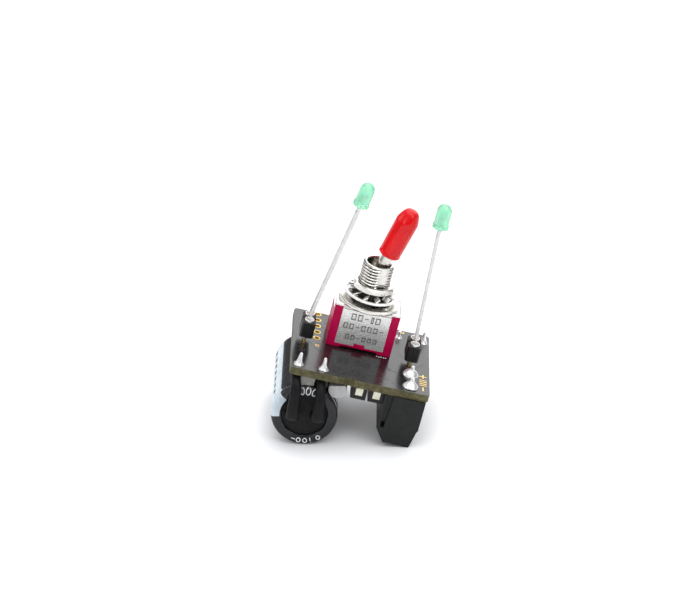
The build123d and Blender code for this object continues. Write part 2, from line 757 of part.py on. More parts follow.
with BuildPart() as frame:
    for side, direction in ((-1, 1), (1, -1)):
        with BuildSketch(Plane(origin=(switch_x, switch_y + side * switch_d / 2, 0),
                               x_dir=(1, 0, 0), z_dir=(0, -1, 0))):
            with BuildLine():
                Polyline(*front_outline(0), close=True)
            make_face()
        extrude(amount=-direction * frame_t)
    with BuildSketch(Plane.XY.offset(body_top)):
        with Locations((switch_x, switch_y)):
            Rectangle(switch_w, switch_d)
            Circle(bushing_r - 0.3, mode=Mode.SUBTRACT)
    extrude(amount=frame_top_t)
    fillet(frame.faces().sort_by(Axis.Z)[-1].outer_wire().edges(), 0.4)
    # crease pressed across both plates just below the bend
    for side in (-1, 1):
        with Locations((switch_x, switch_y + side * switch_d / 2, body_top - groove_h)):
            Box(frame_w + 1, 2 * groove_depth, groove_h, mode=Mode.SUBTRACT)
keep(frame, "switch_frame")

with BuildPart() as bushing:
    with BuildSketch(Plane.XY.offset(body_top)):
        with Locations((switch_x, switch_y)):
            Circle(bushing_r - 0.3)
    extrude(amount=frame_top_t)
    with BuildSketch(Plane.XY.offset(switch_h)):
        with Locations((switch_x, switch_y)):
            Circle(bushing_r)
    extrude(amount=bushing_len)
    with BuildSketch(Plane.XY.offset(body_top)):
        with Locations((switch_x, switch_y)):
            Circle(bushing_bore_r)
    extrude(amount=bushing_len + frame_top_t, mode=Mode.SUBTRACT)
    # slots up the bore for the lever's two trunnions
    with BuildSketch(Plane.XZ.offset(-switch_y)):
        with Locations((switch_x, (body_top + pivot_z) / 2)):
            Rectangle(2 * trunnion_r + 2 * running_gap, pivot_z - body_top)
        with Locations((switch_x, pivot_z)):
            Circle(trunnion_r + running_gap)
    extrude(amount=trunnion_reach + running_gap, both=True, mode=Mode.SUBTRACT)
    # relief turned into the thread, all but its top edge inside the tightened nut
    with BuildSketch(Plane.XY.offset(mouth_z - free_thread + relief_proud)):
        with Locations((switch_x, switch_y)):
            Circle(bushing_r + 1)
            Circle(bushing_r - relief_depth, mode=Mode.SUBTRACT)
    extrude(amount=-relief_len, mode=Mode.SUBTRACT)
keep(bushing, "threaded_bushing")

# the stack on the bushing, from the body up: tab washer, backing nut, lock washer, hex nut
tab_top = switch_h + tab_washer_t
nut_top = mouth_z - free_thread
nut_bottom = nut_top - nut_t
lock_bottom = nut_bottom - lock_washer_t
nut_r = nut_af / 2 / cos(radians(30))

with BuildPart() as tab_washer:
    with BuildSketch(Plane.XY.offset(switch_h)):
        with Locations((switch_x, switch_y)):
            Circle(tab_washer_r)
            Circle(bushing_r, mode=Mode.SUBTRACT)
    extrude(amount=tab_washer_t)
    with BuildSketch(Plane.XY.offset(switch_h)):
        with Locations((switch_x, switch_y + tab_washer_r - 0.5)):
            Rectangle(2.2, 0.8)
    extrude(amount=tab_washer_t + 0.8)
keep(tab_washer, "tab_washer")

for name, bottom, top in (("backing_nut", tab_top, lock_bottom), ("hex_nut", nut_bottom, nut_top)):
    with BuildPart() as nut:
        with BuildSketch(Plane.XY.offset(bottom)):
            with Locations((switch_x, switch_y)):
                RegularPolygon(nut_r, 6, rotation=30)
                Circle(bushing_r, mode=Mode.SUBTRACT)
        extrude(amount=top - bottom)
        # corners rounded off by a cone, as on a turned nut
        with BuildSketch(Plane(origin=(switch_x, switch_y, 0), x_dir=(1, 0, 0), z_dir=(0, -1, 0))):
            with BuildLine():
                Polyline((bushing_r, bottom), (nut_r - 0.25, bottom), (nut_r, bottom + 0.25),
                         (nut_r, top - 0.25), (nut_r - 0.25, top), (bushing_r, top), close=True)
            make_face()
        revolve(axis=Axis((switch_x, switch_y, 0), (0, 0, 1)), mode=Mode.INTERSECT)
    keep(nut, name)

tooth_count = 12
with BuildPart() as lock_washer:
    with BuildSketch(Plane.XY.offset(lock_bottom)):
        with Locations((switch_x, switch_y)):
            Circle(lock_washer_r)
            Circle(lock_washer_r - 0.75, mode=Mode.SUBTRACT)
    extrude(amount=lock_ring_t)
    with BuildSketch(Plane.XY.offset(lock_bottom)):
        with Locations((switch_x, switch_y)):
            with PolarLocations(lock_washer_r - 1.35, tooth_count):
                Rectangle(1.6, 1.0)
            Circle(bushing_r + 0.15, mode=Mode.SUBTRACT)
    extrude(amount=lock_washer_t)
keep(lock_washer, "lock_washer")

# contacts inside the switch
blade_bottom = under - pin_reach
fulcrum_z = 4.3
with BuildPart() as blades:
    for x, top in zip(terminal_xs, (3.55, fulcrum_z - 0.25, 3.55)):
        with BuildSketch(Plane.XY.offset(blade_bottom)):
            with Locations((x, switch_y)):
                Rectangle(*blade)
        extrude(amount=top - blade_bottom)
keep(blades, "switch_terminals")

arm_l = 5.0
arm_t = 0.4
knuckle_r = 0.3
rise = 2 * rocker_angle
with BuildPart() as rocker:
    with BuildSketch(Plane(origin=(switch_x, switch_y + 1.5, fulcrum_z), x_dir=(1, 0, 0), z_dir=(0, -1, 0))):
        with BuildLine():
            Polyline((-arm_l, 0), (0, 0), (arm_l * cos(radians(rise)), arm_l * sin(radians(rise))),
                     (arm_l * cos(radians(rise)) - arm_t * sin(radians(rise)),
                      arm_l * sin(radians(rise)) + arm_t * cos(radians(rise))),
                     (0, arm_t), (-arm_l, arm_t), close=True)
        make_face()
    extrude(amount=3.0)
    for slope, reach in ((0, -terminal_pitch), (rise, terminal_pitch)):
        arm_dir = (cos(radians(slope)), 0, sin(radians(slope)))
        button = Plane(origin=(switch_x + reach * arm_dir[0], switch_y, fulcrum_z + reach * arm_dir[2]),
                       x_dir=arm_dir, z_dir=(arm_dir[2], 0, -arm_dir[0]))
        with BuildSketch(button):
            Circle(0.55)
        extrude(amount=0.3)
    # knuckle the rocker tilts on, a little wider than its arms
    with BuildSketch(Plane.XZ.offset(-switch_y)):
        with Locations((switch_x, fulcrum_z + arm_t / 2)):
            Circle(knuckle_r)
    extrude(amount=2.1, both=True)
keep(rocker, "contact_rocker")

# ---------------------------------------------------------------- toggle lever
# local axes of this plane are radius and height along the lever, pivot at the origin
lever_dir = (sin(radians(lever_throw)), 0, cos(radians(lever_throw)))
lever_plane = Plane(origin=(switch_x, switch_y, pivot_z), x_dir=(cos(radians(lever_throw)), 0,
                    -sin(radians(lever_throw))), z_dir=(0, -1, 0))
lever_axis = Axis((switch_x, switch_y, pivot_z), lever_dir)
cap_start = lever_tip - cap_sleeve_len
bat_end = lever_tip - 3.0
ball_neck = 1.95
neck_r = sqrt(ball_r ** 2 - ball_neck ** 2)
stem_end = 7.0
stem_bore = plunger_r + 0.05
stem_top = sqrt(ball_r ** 2 - stem_r ** 2)
bore_top = 4.4

with BuildPart() as lever:
    with BuildSketch(lever_plane):
        with BuildLine():
            Line((0, bat_end), (bat_r - 0.5, bat_end))
            ThreePointArc((bat_r - 0.5, bat_end), (bat_r - 0.15, bat_end - 0.15), (bat_r, bat_end - 0.5))
            Polyline((bat_r, bat_end - 0.5), (bat_r, cap_start), (neck_r, ball_neck))
            ThreePointArc((neck_r, ball_neck), (ball_r, 0), (stem_r, -stem_top))
            Polyline((stem_r, -stem_top), (stem_r, -stem_end), (stem_bore, -stem_end),
                     (stem_bore, -bore_top), (0, -bore_top), (0, bat_end))
        make_face()
    revolve(axis=lever_axis)
    # trunnions across the ball, on the axis the lever swings about
    with BuildSketch(Plane.XZ.offset(-switch_y)):
        with Locations((switch_x, pivot_z)):
            Circle(trunnion_r)
    extrude(amount=trunnion_reach, both=True)
keep(lever, "toggle_lever")

nose_start = lever_tip - 3.2
with BuildPart() as lever_cap:
    with BuildSketch(lever_plane):
        with BuildLine():
            Line((bat_r, cap_start), (cap_sleeve_r - 0.3, cap_start))
            ThreePointArc((cap_sleeve_r - 0.3, cap_start), (cap_sleeve_r - 0.09, cap_start + 0.09),
                          (cap_sleeve_r, cap_start + 0.3))
            Line((cap_sleeve_r, cap_start + 0.3), (cap_sleeve_r, nose_start))
            Spline((cap_sleeve_r, nose_start), (cap_sleeve_r * 0.74, lever_tip - 0.95), (0, lever_tip),
                   tangents=((0, 1), (-1, 0)))
            Polyline((0, lever_tip), (0, bat_end), (bat_r - 0.5, bat_end))
            ThreePointArc((bat_r - 0.5, bat_end), (bat_r - 0.15, bat_end - 0.15), (bat_r, bat_end - 0.5))
            Line((bat_r, bat_end - 0.5), (bat_r, cap_start))
        make_face()
    revolve(axis=lever_axis)
keep(lever_cap, "lever_cap")

plunger_top = stem_end - 0.9
with BuildPart() as plunger:
    with BuildSketch(lever_plane):
        with BuildLine():
            Polyline((0, -plunger_top), (plunger_r, -plunger_top),
                     (plunger_r, -plunger_reach + plunger_r))
            ThreePointArc((plunger_r, -plunger_reach + plunger_r),
                          (plunger_r * sin(radians(45)), -plunger_reach + plunger_r * (1 - cos(radians(45)))),
                          (0, -plunger_reach))
            Line((0, -plunger_reach), (0, -plunger_top))
        make_face()
    revolve(axis=lever_axis)
keep(plunger, "plunger")

spring_wire = 0.09
spring_r = plunger_r - spring_wire - 0.02
spring_len = plunger_top - bore_top - 2 * spring_wire
spring_base = lever_axis.position - lever_axis.direction * (plunger_top - spring_wire)
with BuildPart() as spring:
    with BuildLine() as coil_line:
        Helix(pitch=spring_len / 5, height=spring_len, radius=spring_r, center=tuple(spring_base),
              direction=lever_dir)
    with BuildSketch(Plane(origin=coil_line.line @ 0, z_dir=coil_line.line % 0)):
        Circle(spring_wire)
    sweep(path=coil_line.line, is_frenet=True)
keep(spring, "plunger_spring")

# ---------------------------------------------------------------- eye sockets
socket_top = socket_standoff + socket_h
cup_top = socket_top + contact_cup_h
for x, front_y, name in zip(socket_x, socket_ys, socket_names):
    spots = [(x, front_y), (x, front_y + pitch)]
    with BuildPart() as socket:
        with BuildSketch(Plane.XY.offset(socket_standoff)):
            with Locations((x, front_y + pitch / 2)):
                Rectangle(socket_w, socket_l)
            with Locations(spots):
                Circle(0.65, mode=Mode.SUBTRACT)
            # waists between and beyond the two ways
            with Locations([(x + side * (socket_w / 2), front_y + pitch / 2) for side in (-1, 1)]):
                Circle(0.35, mode=Mode.SUBTRACT)
        extrude(amount=socket_h)
        chamfer(socket.edges().filter_by(Axis.Z).group_by(Axis.Y)[0], 0.35)
        chamfer(socket.edges().filter_by(Axis.Z).group_by(Axis.Y)[-1], 0.35)
    keep(socket, f"{name}_eye_socket")

    with BuildPart() as contacts:
        with BuildSketch(Plane.XY.offset(under - pin_reach)):
            with Locations(spots):
                Circle(socket_pin_r)
        extrude(amount=socket_standoff - under + pin_reach)
        with BuildSketch(Plane.XY.offset(socket_standoff - 0.5)):
            with Locations(spots):
                Circle(0.65)
        extrude(amount=0.5)
        with BuildSketch(Plane.XY.offset(socket_standoff)):
            with Locations(spots):
                Circle(0.65)
        extrude(amount=socket_h)
        with BuildSketch(Plane.XY.offset(socket_top)):
            with Locations(spots):
                Circle(contact_cup_r)
        extrude(amount=contact_cup_h)
        with BuildSketch(Plane.XY.offset(cup_top)):
            with Locations(spots):
                Circle(contact_bore_r)
        extrude(amount=-3.0, mode=Mode.SUBTRACT)
        # funnel mouths that lead the lamp's legs in
        with Locations([(sx, sy, cup_top) for sx, sy in spots]):
            Cone(contact_bore_r, cup_mouth_r, 0.45, align=(Align.CENTER, Align.CENTER, Align.MAX),
                 mode=Mode.SUBTRACT)
    keep(contacts, f"{name}_socket_contacts")

# ---------------------------------------------------------------- eye lamps
# each lamp stands on two square leads, straight in the socket and leaning above it
for x, front_y, name, slant, tilt, height in zip(socket_x, socket_ys, socket_names, lamp_lean,
                                                 lamp_tilt, lamp_rise):
    base_x = x + height * sin(radians(slant))
    base_z = cup_top + height * cos(radians(slant))
    lamp_dir = (sin(radians(tilt)), 0, cos(radians(tilt)))
    lamp_side = (cos(radians(tilt)), 0, -sin(radians(tilt)))
    lamp_plane = Plane(origin=(base_x, front_y + pitch / 2, base_z), x_dir=lamp_side, z_dir=(0, -1, 0))
    with BuildPart() as lamp:
        with BuildSketch(lamp_plane):
            with BuildLine():
                Polyline((0, 0), (lamp_flange_r, 0), (lamp_flange_r, lamp_flange_t),
                         (lamp_r, lamp_flange_t), (lamp_r, lamp_len - lamp_r))
                ThreePointArc((lamp_r, lamp_len - lamp_r),
                              (lamp_r * cos(radians(45)), lamp_len - lamp_r * (1 - sin(radians(45)))),
                              (0, lamp_len))
                Line((0, lamp_len), (0, 0))
            make_face()
        revolve(axis=Axis((base_x, front_y + pitch / 2, base_z), lamp_dir))
    keep(lamp, f"{name}_lamp")

    with BuildPart() as lamp_leads:
        for y in (front_y, front_y + pitch):
            with BuildLine() as path:
                FilletPolyline((x, y, cup_top - lead_plug), (x, y, cup_top + 0.5),
                               (base_x - 2.5 * lamp_dir[0], y, base_z - 2.5 * lamp_dir[2]),
                               (base_x, y, base_z), radius=[1.5, 3.0])
            with BuildSketch(Plane(origin=path.line @ 0, x_dir=(1, 0, 0), z_dir=(0, 0, 1))):
                Rectangle(lead_side, lead_side)
            sweep(path=path.line)
            # stub of the tie bar that joined the leads
            with Locations(Plane(origin=(base_x - 2.1 * lamp_dir[0], y, base_z - 2.1 * lamp_dir[2]),
                                 x_dir=lamp_side, z_dir=lamp_dir)):
                Box(lead_side, 0.75, 0.35)
    keep(lamp_leads, f"{name}_lamp_leads")

# ---------------------------------------------------------------- leaning the robot on the floor
turned = {name: Rot(0, lean, 0) * piece for name, piece in pieces.items()}
box = Compound(list(turned.values())).bounding_box()
stand = Pos(-box.center().X, -box.center().Y, -box.min.Z)
print(f"lean {lean:.3f} degrees, box {box.size.X:.2f} x {box.size.Y:.2f} x {box.size.Z:.2f} mm")
print(f"shift {-box.center().X:.4f} {-box.center().Y:.4f} {-box.min.Z:.4f}")
for name, piece in turned.items():
    standing = stand * piece
    standing.label = name
    export_step(standing, f"parts/{name}.step")
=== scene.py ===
import json
from math import cos, degrees, hypot, pi, radians, sin

import bmesh
import bpy
import numpy as np
from mathutils import Matrix, Vector, noise


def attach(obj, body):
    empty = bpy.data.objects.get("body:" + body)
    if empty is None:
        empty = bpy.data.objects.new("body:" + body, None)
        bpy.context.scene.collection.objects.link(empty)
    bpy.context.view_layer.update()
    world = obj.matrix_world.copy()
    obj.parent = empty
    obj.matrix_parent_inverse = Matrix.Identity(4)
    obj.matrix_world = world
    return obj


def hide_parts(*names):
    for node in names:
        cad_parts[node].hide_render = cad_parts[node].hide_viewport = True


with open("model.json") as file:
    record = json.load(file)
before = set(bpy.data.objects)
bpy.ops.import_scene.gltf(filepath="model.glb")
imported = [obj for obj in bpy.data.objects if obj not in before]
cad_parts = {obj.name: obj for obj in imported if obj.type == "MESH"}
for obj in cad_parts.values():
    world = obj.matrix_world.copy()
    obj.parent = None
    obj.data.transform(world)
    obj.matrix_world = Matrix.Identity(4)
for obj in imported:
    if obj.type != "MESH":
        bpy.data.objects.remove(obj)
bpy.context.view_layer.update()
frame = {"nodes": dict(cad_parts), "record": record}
record = frame["record"]
nodes = frame["nodes"]
MM = 0.001

# ------------------------------------------------------------------ the board's own frame
# X to the right, Y to the back, Z up from the board's upper face, in millimetres, as in the CAD
board_t = 1.6
under = -board_t
header_x, header_back_y, pitch = 4.9, 24.2, 2.54
switch_x, switch_y, switch_w, switch_d, switch_h = 13.25, 16.0, 13.2, 7.4, 9.6
mouth_z, free_thread, bushing_len = 18.5, 4.3, 8.9
nut_af, nut_t = 8.0, 1.3
lever_throw = radians(13.0)
pivot_z = mouth_z - 4.0

joints = {j["name"]: j for j in record["behaviour"]["joints"]}
mounts = {m["name"]: m for m in record["mounts"]}
board_up = Vector(joints["left_eye_unplug"]["axis"]).normalized()
board_back = Vector((0, 1, 0))
board_right = board_back.cross(board_up).normalized()
turn = Matrix((board_right, board_back, board_up)).transposed()
first_hole = Vector(mounts["header_hole_1"]["pos_m"])
origin = first_hole - turn @ (Vector((header_x, header_back_y, under / 2)) * MM)
TO_ROW = Matrix.Translation(origin) @ turn.to_4x4() @ Matrix.Scale(MM, 4)


# ------------------------------------------------------------------ materials
def ramp(tree, source, low, high, start=0.3, end=0.7):
    """Colour ramp from low to high over part of a 0..1 source."""
    node = tree.nodes.new("ShaderNodeValToRGB")
    node.color_ramp.elements[0].position = start
    node.color_ramp.elements[1].position = end
    node.color_ramp.elements[0].color = (*low, 1)
    node.color_ramp.elements[1].color = (*high, 1)
    tree.links.new(source, node.inputs["Fac"])
    return node.outputs["Color"]


def grey(v):
    return (v, v, v)


def noise_of(tree, coords, scale, detail=3.0, stretch=None):
    node = tree.nodes.new("ShaderNodeTexNoise")
    node.inputs["Scale"].default_value = scale
    node.inputs["Detail"].default_value = detail
    if stretch:
        mapping = tree.nodes.new("ShaderNodeMapping")
        mapping.inputs["Scale"].default_value = stretch
        tree.links.new(coords, mapping.inputs["Vector"])
        coords = mapping.outputs["Vector"]
    tree.links.new(coords, node.inputs["Vector"])
    return node.outputs["Fac"]


def finish(name, low, high, rough=(0.3, 0.4), patch=900, grain=6000, bump=0.15, depth=0.00002,
           metallic=0.0, stretch=None, **fixed):
    """A procedural finish: mottled colour, patchy gloss and a fine bump, all at millimetre scale."""
    mat = bpy.data.materials.new(name)
    mat.use_nodes = True
    tree = mat.node_tree
    shader = tree.nodes["Principled BSDF"]
    coords = tree.nodes.new("ShaderNodeTexCoord").outputs["Object"]
    tree.links.new(ramp(tree, noise_of(tree, coords, patch), low, high), shader.inputs["Base Color"])
    tree.links.new(ramp(tree, noise_of(tree, coords, patch * 1.7, 4.0, stretch), grey(rough[0]), grey(rough[1])),
                   shader.inputs["Roughness"])
    bumper = tree.nodes.new("ShaderNodeBump")
    bumper.inputs["Strength"].default_value = bump
    bumper.inputs["Distance"].default_value = depth
    tree.links.new(noise_of(tree, coords, grain, 2.0, stretch), bumper.inputs["Height"])
    tree.links.new(bumper.outputs["Normal"], shader.inputs["Normal"])
    shader.inputs["Metallic"].default_value = metallic
    for key, value in fixed.items():
        shader.inputs[key.replace("_", " ")].default_value = value
    return mat


mats = {
    "solder_mask": finish("solder_mask", (0.006, 0.006, 0.007), (0.012, 0.0115, 0.013), (0.2, 0.28), 500, 2500, 0.08,
                          Coat_Weight=0.3, Coat_Roughness=0.12),
    "glass_fibre": finish("glass_fibre", (0.050, 0.045, 0.016), (0.125, 0.108, 0.048), (0.45, 0.7), 1000, 5000, 0.5,
                          depth=0.00005, stretch=(1, 1, 6), Specular_IOR_Level=0.3),
    "gold": finish("gold", (0.72, 0.50, 0.17), (0.88, 0.66, 0.28), (0.34, 0.48), 1500, 7000, 0.15, metallic=0.8),
    "solder": finish("solder", (0.74, 0.74, 0.73), (0.86, 0.86, 0.85), (0.26, 0.38), 1000, 3500, 0.3,
                     depth=0.00003, metallic=0.85),
    "tinned": finish("tinned", (0.62, 0.62, 0.61), (0.82, 0.81, 0.80), (0.14, 0.3), 1500, 6000, 0.2, metallic=1.0),
    "sleeve_pvc": finish("sleeve_pvc", (0.004, 0.004, 0.005), (0.009, 0.009, 0.011), (0.16, 0.26), 350, 900, 0.12,
                         depth=0.00008, Specular_IOR_Level=0.4),
    "sleeve_stripe": finish("sleeve_stripe", (0.48, 0.56, 0.62), (0.60, 0.68, 0.73), (0.2, 0.32), 350, 900, 0.12,
                            depth=0.00008),
    "print_white": finish("print_white", (0.66, 0.68, 0.70), (0.84, 0.85, 0.86), (0.4, 0.55), 1500, 5000, 0.2),
    "print_dark": finish("print_dark", (0.02, 0.022, 0.025), (0.05, 0.052, 0.056), (0.35, 0.5), 1500, 5000, 0.2),
    "can_aluminium": finish("can_aluminium", (0.70, 0.70, 0.71), (0.86, 0.86, 0.87), (0.22, 0.4), 800, 4000, 0.2,
                            metallic=1.0),
    "bung_rubber": finish("bung_rubber", (0.003, 0.003, 0.003), (0.008, 0.008, 0.008), (0.55, 0.75), 1200, 4500, 0.5,
                          depth=0.00006, Specular_IOR_Level=0.25),
    "winding_foil": finish("winding_foil", (0.35, 0.32, 0.24), (0.55, 0.52, 0.44), (0.5, 0.7), 900, 3000, 0.3),
    "heatshrink": finish("heatshrink", (0.003, 0.003, 0.0035), (0.007, 0.007, 0.008), (0.4, 0.55), 700, 1800, 0.25,
                         depth=0.0001, Specular_IOR_Level=0.16),
    "foam": finish("foam", (0.24, 0.235, 0.21), (0.36, 0.355, 0.32), (0.8, 0.95), 2200, 5200, 0.9, depth=0.00012),
    "motor_steel": finish("motor_steel", (0.50, 0.50, 0.50), (0.68, 0.68, 0.68), (0.2, 0.36), 900, 5000, 0.2,
                          metallic=1.0),
    "tungsten": finish("tungsten", (0.40, 0.40, 0.395), (0.48, 0.48, 0.475), (0.5, 0.62), 1400, 6500, 0.3,
                       depth=0.00003, metallic=0.3),
    "magnet": finish("magnet", (0.03, 0.03, 0.03), (0.07, 0.07, 0.07), (0.4, 0.6), 900, 4000, 0.3, metallic=0.6),
    "copper": finish("copper", (0.42, 0.12, 0.04), (0.62, 0.22, 0.08), (0.2, 0.35), 900, 6000, 0.4, metallic=1.0),
    "black_epoxy": finish("black_epoxy", (0.004, 0.004, 0.0045), (0.010, 0.010, 0.0105), (0.42, 0.6), 1100, 7000, 0.4,
                          depth=0.00003, Specular_IOR_Level=0.3),
    "cream_lens": finish("cream_lens", (0.66, 0.60, 0.45), (0.80, 0.75, 0.60), (0.16, 0.3), 900, 3000, 0.15,
                         Subsurface_Weight=0.3, Subsurface_Scale=0.0008, Coat_Weight=0.4),
    "ceramic_black": finish("ceramic_black", (0.01, 0.01, 0.01), (0.03, 0.03, 0.03), (0.25, 0.4), 1500, 5000, 0.3),
    "ceramic_tan": finish("ceramic_tan", (0.22, 0.12, 0.05), (0.34, 0.20, 0.09), (0.45, 0.6), 1500, 5000, 0.4),
    "fuse_resin": finish("fuse_resin", (0.48, 0.20, 0.012), (0.66, 0.30, 0.02), (0.28, 0.45), 600, 1800, 0.4,
                         depth=0.0001, Coat_Weight=0.2),
    "terminal_black": finish("terminal_black", (0.004, 0.0043, 0.0043), (0.009, 0.0095, 0.0095), (0.42, 0.58), 900,
                             6500, 0.4, depth=0.00004, Specular_IOR_Level=0.28),
    "switch_red": finish("switch_red", (0.40, 0.0015, 0.050), (0.50, 0.0025, 0.072), (0.34, 0.44), 500, 2500, 0.1,
                         Specular_IOR_Level=0.1),
    "nickel": finish("nickel", (0.60, 0.58, 0.54), (0.74, 0.72, 0.68), (0.15, 0.25), 1000, 5500, 0.12, metallic=1.0),
    # painted shade: a dark steel that stands in for the shade in the thread's grooves, on the bushing hidden under the
    # lock washer and on the backing nut in its gap
    "painted_shade_steel": finish("painted_shade_steel", (0.05, 0.048, 0.045), (0.10, 0.096, 0.09), (0.35, 0.5), 1000, 5500, 0.12,
                           metallic=0.9),
    "stamped_steel": finish("stamped_steel", (0.82, 0.81, 0.79), (0.87, 0.86, 0.84), (0.25, 0.3), 500, 5000, 0.1,
                            metallic=0.65, stretch=(1, 1, 5)),
    "silver_contact": finish("silver_contact", (0.74, 0.73, 0.70), (0.86, 0.85, 0.82), (0.24, 0.36), 1200, 5000, 0.15,
                             metallic=0.9),
    "cap_vinyl": finish("cap_vinyl", (0.60, 0.001, 0.003), (0.72, 0.002, 0.005), (0.2, 0.28), 400, 1500, 0.1,
                        depth=0.00005, Specular_IOR_Level=0.14, Coat_Weight=0.35, Coat_Roughness=0.04),
    "socket_black": finish("socket_black", (0.003, 0.003, 0.003), (0.008, 0.008, 0.008), (0.4, 0.58), 1200, 6000, 0.3,
                           Specular_IOR_Level=0.28),
    "lamp_green": finish("lamp_green", (0.34, 0.86, 0.58), (0.44, 0.94, 0.68), (0.10, 0.18), 500, 1500, 0.08,
                         Subsurface_Weight=0.5, Subsurface_Scale=0.0025, Transmission_Weight=0.5, IOR=1.5,
                         Coat_Weight=0.4, Coat_Roughness=0.04),
    "lead_wire": finish("lead_wire", (0.58, 0.575, 0.56), (0.72, 0.715, 0.70), (0.3, 0.45), 1300, 5000, 0.2,
                        metallic=0.85),
    "stamp_shadow": finish("stamp_shadow", (0.17, 0.165, 0.16), (0.25, 0.245, 0.24), (0.4, 0.5), 1300, 5000, 0.2,
                           metallic=0.5),
}
slot_of = {s["node"]: s["material_slot"] for s in record["subparts"]}
for node_name, obj in nodes.items():
    chosen = mats["lead_wire" if node_name.endswith("lamp_leads") else slot_of[node_name]]
    for i in range(max(1, len(obj.data.materials))):
        if obj.data.materials:
            obj.data.materials[i] = chosen
        else:
            obj.data.materials.append(chosen)


# ------------------------------------------------------------------ mesh building
class Shape:
    """Vertices and faces in the board's frame, in millimetres, with a material number on each face."""

    def __init__(self):
        self.verts, self.faces, self.marks = [], [], []

    def grid(self, rows, closed_u=True, mark=lambda i, j: 0):
        """Join rows of points, each row a ring when closed_u."""
        start, n, m = len(self.verts), len(rows), len(rows[0])
        for row in rows:
            self.verts.extend(Vector(p) for p in row)
        for i in range(n - 1):
            for j in range(m if closed_u else m - 1):
                a, b = start + i * m + j, start + i * m + (j + 1) % m
                c, d = start + (i + 1) * m + (j + 1) % m, start + (i + 1) * m + j
                self.faces.append((a, b, c, d))
                self.marks.append(mark(i, j))

    def cap(self, ring, flip=False):
        """Close one ring of points with a fan round its middle."""
        start = len(self.verts)
        self.verts.extend(Vector(p) for p in ring)
        self.verts.append(sum((Vector(p) for p in ring), Vector()) / len(ring))
        last = start + len(ring)
        for j in range(len(ring)):
            a, b = start + j, start + (j + 1) % len(ring)
            self.faces.append((b, a, last) if flip else (a, b, last))
            self.marks.append(0)

    def lathe(self, profile, base, up=(0, 0, 1), side=(1, 0, 0), n=48, shift=None, mark=lambda i, j: 0):
        """Turn (radius, height) pairs about up through base; shift(angle, r, h) may move a point."""
        up, side = Vector(up).normalized(), Vector(side).normalized()
        other = up.cross(side)
        rows = []
        for r, h in profile:
            row = []
            for j in range(n):
                a = 2 * pi * j / n
                rr, hh = shift(a, r, h) if shift else (r, h)
                row.append(Vector(base) + (side * cos(a) + other * sin(a)) * rr + up * hh)
            rows.append(row)
        self.grid(rows, mark=mark)

    def block(self, centre, size, axes=((1, 0, 0), (0, 1, 0), (0, 0, 1)), top=1.0):
        """A box, its top face scaled by top."""
        x, y, z = (Vector(a) for a in axes)
        c = Vector(centre)
        start = len(self.verts)
        for k in (-1, 1):
            s = top if k > 0 else 1.0
            for i, j in ((-1, -1), (1, -1), (1, 1), (-1, 1)):
                self.verts.append(c + x * (i * s * size[0] / 2) + y * (j * s * size[1] / 2) + z * (k * size[2] / 2))
        for f in ((0, 3, 2, 1), (4, 5, 6, 7), (0, 1, 5, 4), (1, 2, 6, 5), (2, 3, 7, 6), (3, 0, 4, 7)):
            self.faces.append(tuple(start + q for q in f))
            self.marks.append(0)

    def build(self, name, slot, body="chassis", materials=None, replaces=(), bevel=0.0, steps=2, sharp=35.0):
        mesh = bpy.data.meshes.new(name)
        mesh.from_pydata([TO_ROW @ v for v in self.verts], [], self.faces)
        for material in materials or [mats[slot]]:
            mesh.materials.append(material)
        mesh.polygons.foreach_set("material_index", self.marks)
        obj = bpy.data.objects.new(name, mesh)
        bpy.context.scene.collection.objects.link(obj)
        tidy_mesh(mesh)
        dress(obj, bevel, steps, sharp)
        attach(obj, body)
        if replaces:
            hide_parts(*replaces)
        return obj


def tidy_mesh(mesh, planar=False):
    bm = bmesh.new()
    bm.from_mesh(mesh)
    bmesh.ops.remove_doubles(bm, verts=bm.verts, dist=0.5e-6)
    if planar:
        bmesh.ops.dissolve_limit(bm, angle_limit=radians(0.6), verts=bm.verts, edges=bm.edges)
    bmesh.ops.recalc_face_normals(bm, faces=bm.faces)
    bm.to_mesh(mesh)
    bm.free()


def dress(obj, bevel, steps=2, sharp=35.0):
    """Round the edges, then smooth the shading except over what stays sharp."""
    obj.data.polygons.foreach_set("use_smooth", [True] * len(obj.data.polygons))
    obj.data.set_sharp_from_angle(angle=radians(sharp))
    if bevel:
        mod = obj.modifiers.new("edge", "BEVEL")
        mod.width, mod.segments = bevel * MM, steps
        mod.limit_method, mod.angle_limit = "ANGLE", radians(sharp)
        mod.harden_normals = True
        mod.use_clamp_overlap = True


def refined(node, bevel, body="chassis", steps=2, sharp=35.0, materials=None, choose=None):
    """A finer copy of a CAD node, with its edges rounded, that stands for it."""
    mesh = nodes[node].data.copy()
    obj = bpy.data.objects.new(node + "_finished", mesh)
    bpy.context.scene.collection.objects.link(obj)
    tidy_mesh(mesh, planar=True)
    if materials:
        mesh.materials.clear()
        for material in materials:
            mesh.materials.append(material)
        for face in mesh.polygons:
            face.material_index = choose(TO_BOARD @ face.center, TO_BOARD.to_3x3() @ face.normal)
    dress(obj, bevel, steps, sharp)
    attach(obj, body)
    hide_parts(node)
    return obj


TO_BOARD = TO_ROW.inverted()


def wobble(seed, x, y, z=0.0):
    """Smooth repeatable unevenness, -1 to 1."""
    return noise.noise(Vector((x + seed * 7.3, y - seed * 3.1, z + seed * 1.7)))


# ------------------------------------------------------------------ circuit board
def board_part(centre, normal):
    if abs((normal.normalized()).z) > 0.7:
        return 0
    near_hole = min(hypot(centre.x - header_x, centre.y - header_back_y + pitch * i) for i in range(5))
    return 2 if near_hole < 0.7 else 1


refined("circuit_board", 0.06, materials=[mats["solder_mask"], mats["glass_fibre"], mats["gold"]], choose=board_part)
refined("plated_header_holes", 0.02)
refined("gold_markings", 0.015)

